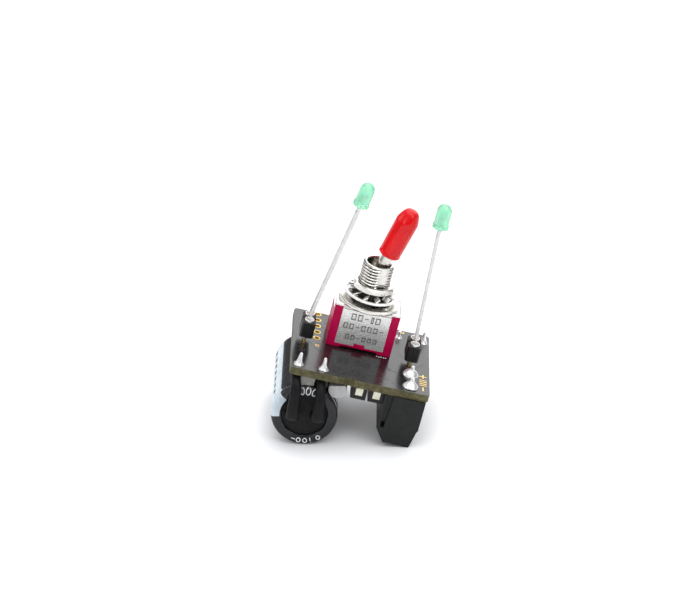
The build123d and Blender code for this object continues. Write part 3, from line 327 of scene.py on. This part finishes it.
tracks = Shape()
track_routes = [
    [(5.9, 24.2), (6.6, 24.2), (6.6, 21.4)], [(5.65, 19.1), (6.3, 19.1), (6.3, 13.0), (5.0, 11.7), (5.0, 11.4)],
    [(4.1, 16.6), (3.6, 16.1), (3.6, 14.5)], [(4.1, 21.7), (2.9, 20.5), (2.9, 15.0)],
    [(7.3, 1.7), (10.6, 1.7), (12.4, 3.5), (12.4, 10.6)], [(2.3, 2.6), (2.3, 9.9)],
    [(3.4, 12.0), (5.2, 9.2), (9.6, 9.2), (10.4, 10.0), (10.4, 11.6)],
    [(8.0, 5.6), (10.0, 5.6), (11.4, 7.0), (11.4, 11.6)], [(13.4, 0.9), (13.4, 7.6), (15.2, 9.4), (15.2, 11.6)],
    [(16.9, 0.9), (16.9, 6.8), (18.2, 8.1), (18.2, 11.6)], [(22.4, 7.3), (19.8, 7.3), (19.2, 7.9), (19.2, 11.6)],
    [(22.4, 2.2), (20.6, 2.2), (19.4, 3.4), (18.4, 3.4)], [(24.9, 10.4), (26.6, 12.1), (26.6, 20.6)],
    [(22.8, 13.6), (21.7, 14.7), (21.7, 20.6)],
]
track_wide = {5: 0.9, 10: 0.9, 4: 0.5}
for number, route in enumerate(track_routes):
    half = track_wide.get(number, 0.22) / 2
    for (x0, y0), (x1, y1) in zip(route, route[1:]):
        along = Vector((x1 - x0, y1 - y0, 0))
        length = along.length
        along.normalize()
        across = Vector((-along.y, along.x, 0))
        tracks.block(((x0 + x1) / 2, (y0 + y1) / 2, 0.006), (length + half, 2 * half, 0.03),
                     (along, across, (0, 0, 1)))
tracks.build("masked_tracks", "solder_mask", bevel=0.012)

via_spots = [(6.6, 21.2), (3.6, 14.2), (2.9, 14.7), (10.4, 11.75), (12.4, 10.8), (11.4, 11.75), (18.4, 3.4),
             (19.2, 11.75), (21.7, 20.8), (26.6, 20.8), (8.0, 5.6), (15.2, 11.75), (18.2, 11.75), (9.2, 3.8)]
vias = Shape()
for x, y in via_spots:
    vias.lathe([(0.12, 0.004), (0.14, 0.02), (0.24, 0.026), (0.30, 0.018), (0.32, -0.01)], (x, y, 0), n=16)
vias.build("tented_vias", "solder_mask")

dashes = Shape()
for k in range(5):
    dashes.block((17.2 + 0.45 * k, 11.75 - 0.12 * (k % 2), 0.012), (0.22, 0.24 + 0.12 * (k % 3), 0.03))
dashes.build("board_print_dashes", "solder_mask", materials=[mats["print_white"]])

# ------------------------------------------------------------------ threaded bushing
thread_pitch = 25.4 / 40
bushing_r, bore_r = 3.175, 2.4
groove_deep = 0.30
keyway_angle, keyway_flat = radians(-62), 2.78
bushing = Shape()
rows, painted_shade_marks = [], []
steps_up = int(bushing_len / thread_pitch * 8)
columns = 96
for i in range(steps_up + 1):
    z = switch_h + bushing_len * i / steps_up
    row = []
    painted_shade_marks.append([])
    for j in range(columns):
        a = 2 * pi * j / columns
        phase = ((z - switch_h) / thread_pitch - a / (2 * pi)) % 1.0
        crest = min(1.0, max(0.0, abs(phase - 0.5) * 2.9 - 0.18))
        r = bushing_r - 0.01 - groove_deep * (1 - crest)
        lead_in = min(1.0, (mouth_z - z) / 0.35)
        r = min(r, bushing_r - 0.3 * (1 - lead_in) - 0.01)
        off = (a - keyway_angle + pi) % (2 * pi) - pi
        if abs(off) < 0.8:
            r = min(r, max(keyway_flat / cos(off), keyway_flat))
        # painted shade: the thread's grooves, away from the keyway flat, and the whole bushing below the nut take the
        # dark painted-shade steel
        painted_shade_marks[-1].append(1 if (crest < 0.4 and abs(off) > 0.5) or z < mouth_z - free_thread - nut_t else 0)
        row.append((switch_x + r * cos(a), switch_y + r * sin(a), z))
    rows.append(row)
bushing.grid(rows, mark=lambda i, j: painted_shade_marks[i][j])
bushing.lathe([(bushing_r - 0.32, mouth_z), (bore_r + 0.15, mouth_z), (bore_r, mouth_z - 0.15), (bore_r, mouth_z - 3.2),
               (bore_r, switch_h - 0.5), (2.875, switch_h - 0.5), (2.875, switch_h), (bushing_r - 0.3, switch_h)],
              (switch_x, switch_y, 0), n=columns)
bushing.build("threaded_bushing_cut", "nickel", materials=[mats["nickel"], mats["painted_shade_steel"]],
              replaces=["threaded_bushing"], sharp=40)

nut_top = mouth_z - free_thread
lock_t, washer_t, washer_r = 1.4, 0.9, 6.2
lock_bottom = nut_top - nut_t - lock_t
washer_top = switch_h + washer_t
hex_reach = 9.0


def hexagon(name, bottom, top, twist, material):
    """A hex nut with both rims chamfered: a radius of hex_reach in the profile means the flats."""
    half_af = nut_af / 2

    def flats(a, r, h):
        reach = half_af / cos(a % (pi / 3) - pi / 6)
        if r == hex_reach:
            drop = 0.62 * (reach - half_af) + 0.03
            return reach, h - drop if h == top else h + drop
        return min(r, reach), h
    nut = Shape()
    nut.lathe([(3.2, bottom + 0.15), (3.4, bottom), (half_af, bottom), (hex_reach, bottom), (hex_reach, top),
               (half_af, top), (3.3, top), (3.2, top - 0.1), (3.2, bottom + 0.15)],
              (switch_x, switch_y, 0), side=(cos(twist), sin(twist), 0), n=96, shift=flats)
    nut.build(name + "_chamfered", "nickel", materials=[material], replaces=[name], bevel=0.06, sharp=28)


hexagon("hex_nut", nut_top - nut_t, nut_top, radians(-90), mats["nickel"])
# painted shade: the backing nut sits in the shaded gap between the tab washer and the lock ring, so it takes the dark
# painted-shade steel
hexagon("backing_nut", washer_top, lock_bottom, radians(-78), mats["painted_shade_steel"])

washer = Shape()
washer.lathe([(3.25, switch_h), (6.05, switch_h), (6.16, switch_h + 0.05), (washer_r, switch_h + 0.17),
              (washer_r, washer_top - 0.17), (6.16, washer_top - 0.05), (6.05, washer_top), (3.25, washer_top),
              (3.25, switch_h)], (switch_x, switch_y, 0), n=120)
washer.block((switch_x, switch_y + 5.65, switch_h + 1.1), (2.2, 0.7, 1.15))
washer.build("tab_washer_turned", "nickel", replaces=["tab_washer"], sharp=40)

# internal-tooth lock washer, each tooth twisted out of the ring
lock = Shape()
lock.lathe([(4.86, 0.06), (4.82, 0.22), (4.86, 0.40), (4.95, 0.45), (5.48, 0.45), (5.57, 0.40), (5.6, 0.27),
            (5.6, 0.17), (5.57, 0.05), (5.48, 0.0), (4.95, 0.0), (4.86, 0.06)],
           (switch_x, switch_y, lock_bottom), n=96)
tooth_count, tilt = 12, radians(42)
for k in range(tooth_count):
    a = 2 * pi * (k + 0.5) / tooth_count
    out = Vector((cos(a), sin(a), 0))
    cross = Vector((-sin(a), cos(a), 0))
    lean_cross = cross * cos(tilt) + Vector((0, 0, 1)) * sin(tilt)
    lean_up = out.cross(lean_cross)
    middle = Vector((switch_x, switch_y, lock_bottom + 0.68)) + out * 4.15
    lock.block(middle, (1.5, 1.05, 0.3), (out, lean_cross, lean_up))
    lock.block(Vector((switch_x, switch_y, lock_bottom + 0.3)) + out * 4.6, (0.8, 0.8, 0.3), (out, cross, (0, 0, 1)))
lock.build("lock_washer_twisted", "stamped_steel", replaces=["lock_washer"], bevel=0.04)

# ------------------------------------------------------------------ toggle
lever_up = Vector((sin(lever_throw), 0, cos(lever_throw)))
lever_side = Vector((cos(lever_throw), 0, -sin(lever_throw)))
pivot = Vector((switch_x, switch_y, pivot_z))
refined("toggle_lever", 0.05, body="toggle")
lever_tip, cap_wide = 17.05, 2.32
lip = lever_tip - 10.8
cap = Shape()
cap.lathe([(1.36, lip + 1.0), (1.40, lip + 0.35), (1.55, lip + 0.12), (1.85, lip + 0.02), (2.15, lip + 0.06),
           (2.29, lip + 0.22), (2.31, lip + 0.42), (2.27, lip + 0.60), (2.24, lip + 0.75), (2.25, lip + 1.2),
           (2.29, lip + 3.0), (2.31, lip + 5.5), (cap_wide, lever_tip - 3.2), (2.31, lever_tip - 2.7),
           (2.26, lever_tip - 2.4), (2.16, lever_tip - 2.05), (2.0, lever_tip - 1.6), (1.8, lever_tip - 1.1),
           (1.6, lever_tip - 0.68), (1.38, lever_tip - 0.38), (1.05, lever_tip - 0.16), (0.6, lever_tip - 0.05),
           (0.25, lever_tip - 0.012), (0.002, lever_tip - 0.002)],
          pivot, lever_up, lever_side, n=64,
          shift=lambda a, r, h: (r + 0.01 * wobble(1, 2 * cos(a), 2 * sin(a), h) - 0.006, h))
cap.build("lever_cap_dipped", "cap_vinyl", body="toggle", replaces=["lever_cap"], sharp=80)

# ------------------------------------------------------------------ switch body
refined("switch_base", 0.14, steps=3)
refined("switch_frame", 0.10, steps=3)
marks = Shape()
plate_y = switch_y - switch_d / 2
stroke, thick, gap = 0.17, 0.12, 0.42
front = plate_y - 0.02
# for each row: its middle's height, how tall its strokes are, and how wide each is
rows_of_bars = [
    (7.3, 1.35, [0.9, 0.9, 0.9, 0.5, 0.9]), (5.15, 1.15, [0.8, 0.8, 0.8, 0.8, 0.8, 0.8, 0.8]),
    (2.75, 1.0, [0.7, 0.7, 0.7, 0.7, 0.7, 0.7]),
]
for z, tall, widths in rows_of_bars:
    x = switch_x - (sum(widths) + gap * (len(widths) - 1)) / 2
    for number, wide in enumerate(widths):
        mid = x + wide / 2
        x += wide + gap
        if number % 4 == 2:
            marks.block((mid, front, z), (wide, thick, stroke))
            continue
        for turned in (-1, 1):
            marks.block((mid + turned * (wide - stroke) / 2, front, z), (stroke, thick, tall))
            marks.block((mid, front, z + turned * (tall - stroke) / 2), (wide, thick, stroke))
marks.build("embossed_strokes", "stamped_steel", materials=[mats["stamp_shadow"]], bevel=0.03)
tabs = Shape()
for turned in (-1, 1):
    tabs.block((switch_x + turned * (switch_w / 2 + 0.06), switch_y, 8.85), (0.2, 6.4, 1.3))
tabs.build("frame_side_tabs", "stamped_steel", bevel=0.08)

# ------------------------------------------------------------------ solder
def solder_joint(shape, x, y, profile, slant, seed):
    """A lumpy cone of solder on the board round the clipped end of a lead."""
    def uneven(a, r, h):
        return r * (1 + 0.09 * wobble(seed, 1.5 * cos(a), 1.5 * sin(a), h * 0.9)), h
    shape.lathe(profile, (x, y, 0), Vector((slant[0], slant[1], 1)), n=32, shift=uneven)


thin_cone = [(1.02, -0.01), (1.0, 0.06), (0.88, 0.2), (0.72, 0.42), (0.58, 0.72), (0.48, 1.05), (0.41, 1.45),
             (0.36, 1.9), (0.31, 2.25), (0.25, 2.42), (0.14, 2.52), (0.004, 2.54)]
small_cone = [(0.8, -0.01), (0.78, 0.05), (0.68, 0.18), (0.53, 0.38), (0.43, 0.62), (0.38, 0.95), (0.36, 1.3),
              (0.3, 1.46), (0.17, 1.52), (0.004, 1.53)]
power_dome = [(1.62, -0.01), (1.6, 0.06), (1.48, 0.28), (1.25, 0.55), (0.98, 0.8), (0.72, 1.0), (0.52, 1.18),
              (0.42, 1.42), (0.38, 1.8), (0.33, 2.02), (0.2, 2.1), (0.004, 2.12)]
joints_small = Shape()
for number, (x, y) in enumerate([(1.5, 1.7), (6.5, 1.7), (21.6, 21.7), (26.68, 21.7)]):
    solder_joint(joints_small, x, y, small_cone if number == 2 else thin_cone, (0.03 * (-1) ** number, 0.05),
                 number + 1)
joints_small.build("lead_solder_lumps", "solder", replaces=["lead_solder_joints"], sharp=60)
joints_power = Shape()
block_front = -0.35
for number, y in enumerate([block_front + pitch, block_front + 3 * pitch]):
    solder_joint(joints_power, 24.1, y, power_dome, (0.05, 0.10 - 0.16 * number), number + 7)
joints_power.build("power_solder_lumps", "solder", replaces=["power_solder_joints"], sharp=60)

# ------------------------------------------------------------------ capacitor
cap_x, cap_z, cap_r = 5.05, under - 8.85, 6.6
# (radius, distance back from the board's front): front fold, crimp, barrel, back fold
sleeve_path = [(4.62, 0.62), (4.72, 0.52), (4.9, 0.505), (5.5, 0.5), (5.9, 0.5), (6.1, 0.53), (6.3, 0.62),
               (6.45, 0.76), (6.56, 0.98), (6.6, 1.25), (6.6, 1.7), (6.58, 1.95), (6.5, 2.15), (6.32, 2.35),
               (6.18, 2.5), (6.15, 2.6), (6.18, 2.7), (6.32, 2.85), (6.5, 3.05), (6.58, 3.25), (6.6, 3.5)]
sleeve_path += [(6.6, y) for y in np.arange(4.5, 22.3, 1.0)]
sleeve_path += [(6.6, 22.6), (6.56, 22.9), (6.45, 23.1), (6.3, 23.3), (6.1, 23.42), (5.9, 23.48), (4.9, 23.5),
                (4.72, 23.48), (4.62, 23.3)]
around = 144
# angles run anticlockwise from the right as seen from the front, so the left side is 180 degrees
stripe_from, stripe_to = 148, 196


def sleeve_mark(i, j):
    a = degrees(2 * pi * (j + 0.5) / around)
    return 1 if stripe_from <= a <= stripe_to and i >= 2 else 0


def on_sleeve(angle, y, lift=0.0):
    """A point on the sleeve at an angle seen from the front and a distance from the board's front."""
    best = None
    for (r0, y0), (r1, y1) in zip(sleeve_path[3:], sleeve_path[4:]):
        if y0 <= y <= y1 and y1 > y0:
            best = r0 + (r1 - r0) * (y - y0) / (y1 - y0)
            break
    r = (best if best is not None else cap_r) + lift
    return (cap_x + r * cos(angle), y, cap_z + r * sin(angle))


sleeve = Shape()
sleeve.lathe(sleeve_path, (cap_x, 0, cap_z), up=(0, 1, 0), side=(1, 0, 0), n=around,
             mark=sleeve_mark)
# the lathe's other direction points down here, so turn it over to keep angles as seen from the front
for v in sleeve.verts:
    v.z = 2 * cap_z - v.z
sleeve.build("capacitor_sleeve_shrunk", "sleeve_pvc", materials=[mats["sleeve_pvc"], mats["sleeve_stripe"]],
             replaces=["capacitor_sleeve"], sharp=60)


def wrapped_patch(shape, angle, y, half_angle, half_y, lift=0.018, pieces=6):
    rows = []
    for i in range(3):
        yy = y + half_y * (i - 1)
        rows.append([on_sleeve(angle + half_angle * (2 * j / pieces - 1), yy, lift) for j in range(pieces + 1)])
    shape.grid(rows, closed_u=False)


def wrapped_ring(shape, angle, y, wide, tall, stroke=0.22, lift=0.018, n=20):
    rows = []
    for grow in (1.0, 1.0 - 2 * stroke / min(wide, tall)):
        rows.append([on_sleeve(angle + grow * wide / 2 * cos(2 * pi * j / n) / cap_r,
                               y + grow * tall / 2 * sin(2 * pi * j / n), lift) for j in range(n)])
    shape.grid(rows)


stripe_marks = Shape()
for k in range(7):
    wrapped_patch(stripe_marks, radians(168), 5.2 + 2.6 * k, 0.055, 0.75)
stripe_marks.build("stripe_minus_marks", "sleeve_pvc", materials=[mats["print_dark"]])

white_marks = Shape()
for angle in (118, 106, 94):
    wrapped_ring(white_marks, radians(angle), 4.3, 0.95, 1.35)
for angle in (82, 70):
    wrapped_ring(white_marks, radians(angle), 4.3, 0.9, 1.3)
wrapped_patch(white_marks, radians(58), 4.3, 0.02, 0.65)
for k in range(6):
    wrapped_patch(white_marks, radians(112), 7.0 + 2.3 * k, 0.11, 0.12)
    wrapped_ring(white_marks, radians(88), 7.2 + 2.3 * k, 0.8, 1.2)
white_marks.build("sleeve_generic_marks", "sleeve_pvc", materials=[mats["print_white"]])


def on_face(angle, r, lift=0.02):
    """A point on the folded front ring of the sleeve."""
    for (r0, y0), (r1, y1) in zip(sleeve_path[:10], sleeve_path[1:11]):
        if r0 <= r <= r1 and r1 > r0:
            y = y0 + (y1 - y0) * (r - r0) / (r1 - r0)
            break
    else:
        y = 0.5
    return (cap_x + r * cos(angle), y - lift, cap_z + r * sin(angle))


face_marks = Shape()


def face_ring(angle, r, wide, tall, stroke=0.2, n=20):
    face_marks.grid([[on_face(angle + g * wide / 2 * cos(2 * pi * j / n) / r, r + g * tall / 2 * sin(2 * pi * j / n))
                      for j in range(n)] for g in (1.0, 1 - 2 * stroke / min(wide, tall))])


def face_bar(angle, r, wide, tall):
    face_marks.grid([[on_face(angle + wide / 2 * s / r, r + tall / 2 * t) for s in (-1, -0.33, 0.33, 1)]
                     for t in (-1, 0, 1)], closed_u=False)


for angle in (121, 107, 94, 81):
    face_ring(radians(angle), 5.55, 1.05, 1.9, stroke=0.17)
face_bar(radians(68), 5.55, 0.18, 1.6)
face_bar(radians(61), 5.55, 0.18, 1.6)
for angle in (271, 284):
    face_ring(radians(angle), 5.6, 0.95, 1.15, stroke=0.18)
face_bar(radians(260), 5.6, 0.8, 0.2)
face_bar(radians(295), 5.6, 0.2, 1.1)
face_ring(radians(312), 5.6, 0.9, 1.05, stroke=0.18)
face_marks.build("rim_generic_marks", "sleeve_pvc", materials=[mats["print_white"]])

bung = Shape()
bung.lathe([(0.003, 1.28), (1.2, 1.27), (2.6, 1.22), (3.9, 1.16), (4.4, 1.12), (4.62, 1.2), (4.68, 1.4), (4.68, 4.3)],
           (cap_x, 0, cap_z), up=(0, 1, 0), side=(1, 0, 0), n=64)
bung.build("capacitor_bung_moulded", "bung_rubber", replaces=["capacitor_bung"], sharp=50)

# ------------------------------------------------------------------ lamps and sockets
socket_x, socket_y = (2.3, 23.8), (11.1, 10.4)
cup_top = 1.7 + 3.2 + 0.5
lamp_lean, lamp_tilt, lamp_rise, lamp_len = (8.8, -2.9), (9.0, -0.8), (26.3, 25.4), 5.2
for number, side_name in enumerate(("left", "right")):
    lean_a, tilt_a = radians(lamp_lean[number]), radians(lamp_tilt[number])
    base = Vector((socket_x[number] + lamp_rise[number] * sin(lean_a), socket_y[number] + pitch / 2,
                   cup_top + lamp_rise[number] * cos(lean_a)))
    up = Vector((sin(tilt_a), 0, cos(tilt_a)))
    side = Vector((cos(tilt_a), 0, -sin(tilt_a)))

    def flat(a, r, h):
        """One side of the flange is ground flat, next to the cathode leg."""
        off = (a - pi / 2 + pi) % (2 * pi) - pi
        return (min(r, 1.52 / max(cos(off), 0.3)) if r > 1.53 and abs(off) < 1.2 else r), h
    dome = [(1.5 * cos(t), lamp_len - 1.5 + 1.49 * sin(t)) for t in np.linspace(0, pi / 2, 12)]
    lamp = Shape()
    lamp.lathe([(0.003, 0.0), (1.2, 0.0), (1.55, 0.02), (1.63, 0.10), (1.65, 0.22), (1.65, 0.72), (1.62, 0.84),
                (1.54, 0.9), (1.51, 0.95), (1.5, 1.05), (1.5, 2.3)] + [(max(r, 0.003), h) for r, h in dome],
               base, up, side, n=56, shift=flat)
    eye = side_name + "_eye"
    lamp.build(side_name + "_lamp_moulded", "lamp_green", body=eye, replaces=[side_name + "_lamp"], sharp=45)
    inner = Shape()
    fore = Vector((0, 1, 0))
    inner.block(base + up * 1.6 - fore * 0.55, (0.5, 0.9, 1.9), (side, fore, up), top=1.15)
    inner.block(base + up * 1.5 + fore * 0.75, (0.45, 0.4, 1.7), (side, fore, up))
    inner.lathe([(0.1, 2.35), (0.35, 2.45), (0.5, 2.8), (0.55, 2.82), (0.42, 2.3), (0.003, 2.25)],
                base - fore * 0.55, up, side, n=20)
    inner.build(side_name + "_lamp_inside", "tinned", body=eye, bevel=0.04)
    refined(side_name + "_eye_socket", 0.08)
    refined(side_name + "_socket_contacts", 0.04, sharp=45, materials=[mats["silver_contact"], mats["gold"]],
            choose=lambda centre, normal: 0 if centre.z > 1.9 else 1)

for node, width in (("terminal_housing", 0.12), ("line_sensor_housings", 0.06), ("controller_chip", 0.04),
                    ("motor_can", 0.15), ("resettable_fuse", 0.05)):
    refined(node, width)

# ------------------------------------------------------------------ off-centre weight
weight_r, weight_cut, weight_len = 1.85, 0.95, 3.0
weight_up = TO_BOARD.to_3x3() @ Vector((0, 0, 1))


def cut_flat(a, r, h):
    """The lathe's angle starts straight up, where the disc is cut off level."""
    off = (a + pi) % (2 * pi) - pi
    return (min(r, weight_cut / cos(off)) if cos(off) > 0.05 else r), h


weight_place = (10.25, 1.2, under - 2.05)
weight = Shape()
weight.lathe([(0.37, 0.62), (0.0, 0.62)], weight_place, up=(0, 1, 0), side=weight_up, n=96)
weight.lathe([(0.003, 0.0), (weight_r - 0.12, 0.0), (weight_r - 0.03, 0.03), (weight_r, 0.12),
              (weight_r, weight_len - 0.1), (weight_r - 0.1, weight_len), (0.37, weight_len), (0.37, 0.62)],
             weight_place, up=(0, 1, 0), side=weight_up, n=96, shift=cut_flat)
weight.build("eccentric_weight_pressed", "tungsten", body="motor_rotor", replaces=["eccentric_weight"], bevel=0.05)

# ------------------------------------------------------------------ capacitor lead sleeves
def rounded(points, times=4):
    """Cut the corners of a line of points until it is a smooth curve."""
    points = [Vector(p) for p in points]
    for _ in range(times):
        finer = [points[0]]
        for p, q in zip(points, points[1:]):
            finer += [p * 0.75 + q * 0.25, p * 0.25 + q * 0.75]
        points = finer + [points[-1]]
    return points


lead_boots = Shape()
for turned, hole_x in ((-1, 1.5), (1, 6.5)):
    exit_x = cap_x + turned * 2.5 * cos(radians(9))
    exit_z = cap_z + turned * 2.5 * sin(radians(9))
    path = rounded([(exit_x, 1.25, exit_z), (exit_x, -1.55, exit_z),
                    ((exit_x + 2 * hole_x) / 3 + 0.2, -0.95, under - 2.5), (hole_x, 1.6, under - 1.0),
                    (hole_x, 1.7, under - 0.04)])
    rows = []
    for i, p in enumerate(path):
        along = (path[min(i + 1, len(path) - 1)] - path[max(i - 1, 0)]).normalized()
        wide = (Vector((1, 0, 0)) - along * along.x).normalized()
        deep = along.cross(wide)
        t = i / (len(path) - 1)
        swell = 0.5 - 0.5 * cos(pi * min(1.0, t / 0.75))
        rx, ry = 1.48 - 0.52 * swell + 0.06 * wobble(turned + 4, 0, t * 5), 0.84
        rows.append([p + wide * (rx * cos(2 * pi * j / 24)) + deep * (ry * sin(2 * pi * j / 24)) for j in range(24)])
    lead_boots.grid(rows)
    lead_boots.cap(rows[0], flip=True)
    lead_boots.cap(rows[-1])
lead_boots.build("lead_sleeves_drawn", "heatshrink", replaces=["lead_sleeves"], sharp=60)

# ------------------------------------------------------------------ floor, light and camera
floor_mesh = bpy.data.meshes.new("floor")
half = 4.0
floor_mesh.from_pydata([(-half, -half, 0), (half, -half, 0), (half, half, 0), (-half, half, 0)], [], [(0, 1, 2, 3)])
floor = bpy.data.objects.new("floor", floor_mesh)
bpy.context.scene.collection.objects.link(floor)
floor_mesh.materials.append(finish("white_paper", (0.86, 0.87, 0.88), (0.90, 0.90, 0.91), (0.6, 0.7), 40, 900, 0.05))

scene = bpy.context.scene
world = bpy.data.worlds.new("studio")
scene.world = world
world.use_nodes = True
tree = world.node_tree
back = tree.nodes["Background"]
geometry = tree.nodes.new("ShaderNodeTexCoord")
split = tree.nodes.new("ShaderNodeSeparateXYZ")
tree.links.new(geometry.outputs["Generated"], split.inputs[0])
shade = tree.nodes.new("ShaderNodeValToRGB")
shade.color_ramp.elements[0].position, shade.color_ramp.elements[0].color = 0.0, (0.10, 0.105, 0.115, 1)
shade.color_ramp.elements[1].position, shade.color_ramp.elements[1].color = 0.75, (0.75, 0.76, 0.78, 1)
tree.links.new(split.outputs["Z"], shade.inputs["Fac"])
tree.links.new(shade.outputs["Color"], back.inputs["Color"])
back.inputs["Strength"].default_value = 1.0


def softbox(name, place, aim, size, power):
    data = bpy.data.lights.new(name, "AREA")
    data.shape, data.size, data.size_y, data.energy = "RECTANGLE", size[0], size[1], power
    lamp_obj = bpy.data.objects.new(name, data)
    lamp_obj.location = place
    lamp_obj.rotation_euler = (Vector(aim) - Vector(place)).to_track_quat("-Z", "Y").to_euler()
    scene.collection.objects.link(lamp_obj)


softbox("key", (0.12, 0.05, 0.75), (0, 0, 0.02), (1.2, 1.0), 6.5)
softbox("left", (-1.0, 0.1, 0.5), (0, 0, 0.02), (0.8, 0.5), 2.0)
softbox("fill", (0.55, -0.55, 0.45), (0, 0, 0.03), (0.3, 0.45), 1.2)
softbox("front", (-0.45, -0.75, 0.35), (0, 0, 0.03), (0.25, 0.5), 0.9)
softbox("back", (0.25, 1.0, 0.42), (0, 0, 0.02), (1.4, 0.5), 3.6)

azimuth, elevation, distance = radians(0.757), radians(27.474), 712.6 * MM
sensor_width, lens = 36.0, 182.366
right = Vector((cos(azimuth), sin(azimuth), 0))
backward = Vector((sin(azimuth) * cos(elevation), -cos(azimuth) * cos(elevation), sin(elevation)))
upward = backward.cross(right)
# the point looked at, from the board's corner
target = origin + (right * -2.16 + upward * 23.77 + Vector((13.5672, 11.3603, -17.9361))) * MM
camera_data = bpy.data.cameras.new("camera")
camera_data.sensor_width, camera_data.lens = sensor_width, lens
camera_data.clip_start = 0.01
camera = bpy.data.objects.new("camera", camera_data)
facing = Matrix((right, upward, backward)).transposed().to_4x4()
camera.matrix_world = Matrix.Translation(target + backward * distance) @ facing
scene.collection.objects.link(camera)
scene.camera = camera
scene.view_settings.view_transform = "Standard"
scene.view_settings.look = "None"
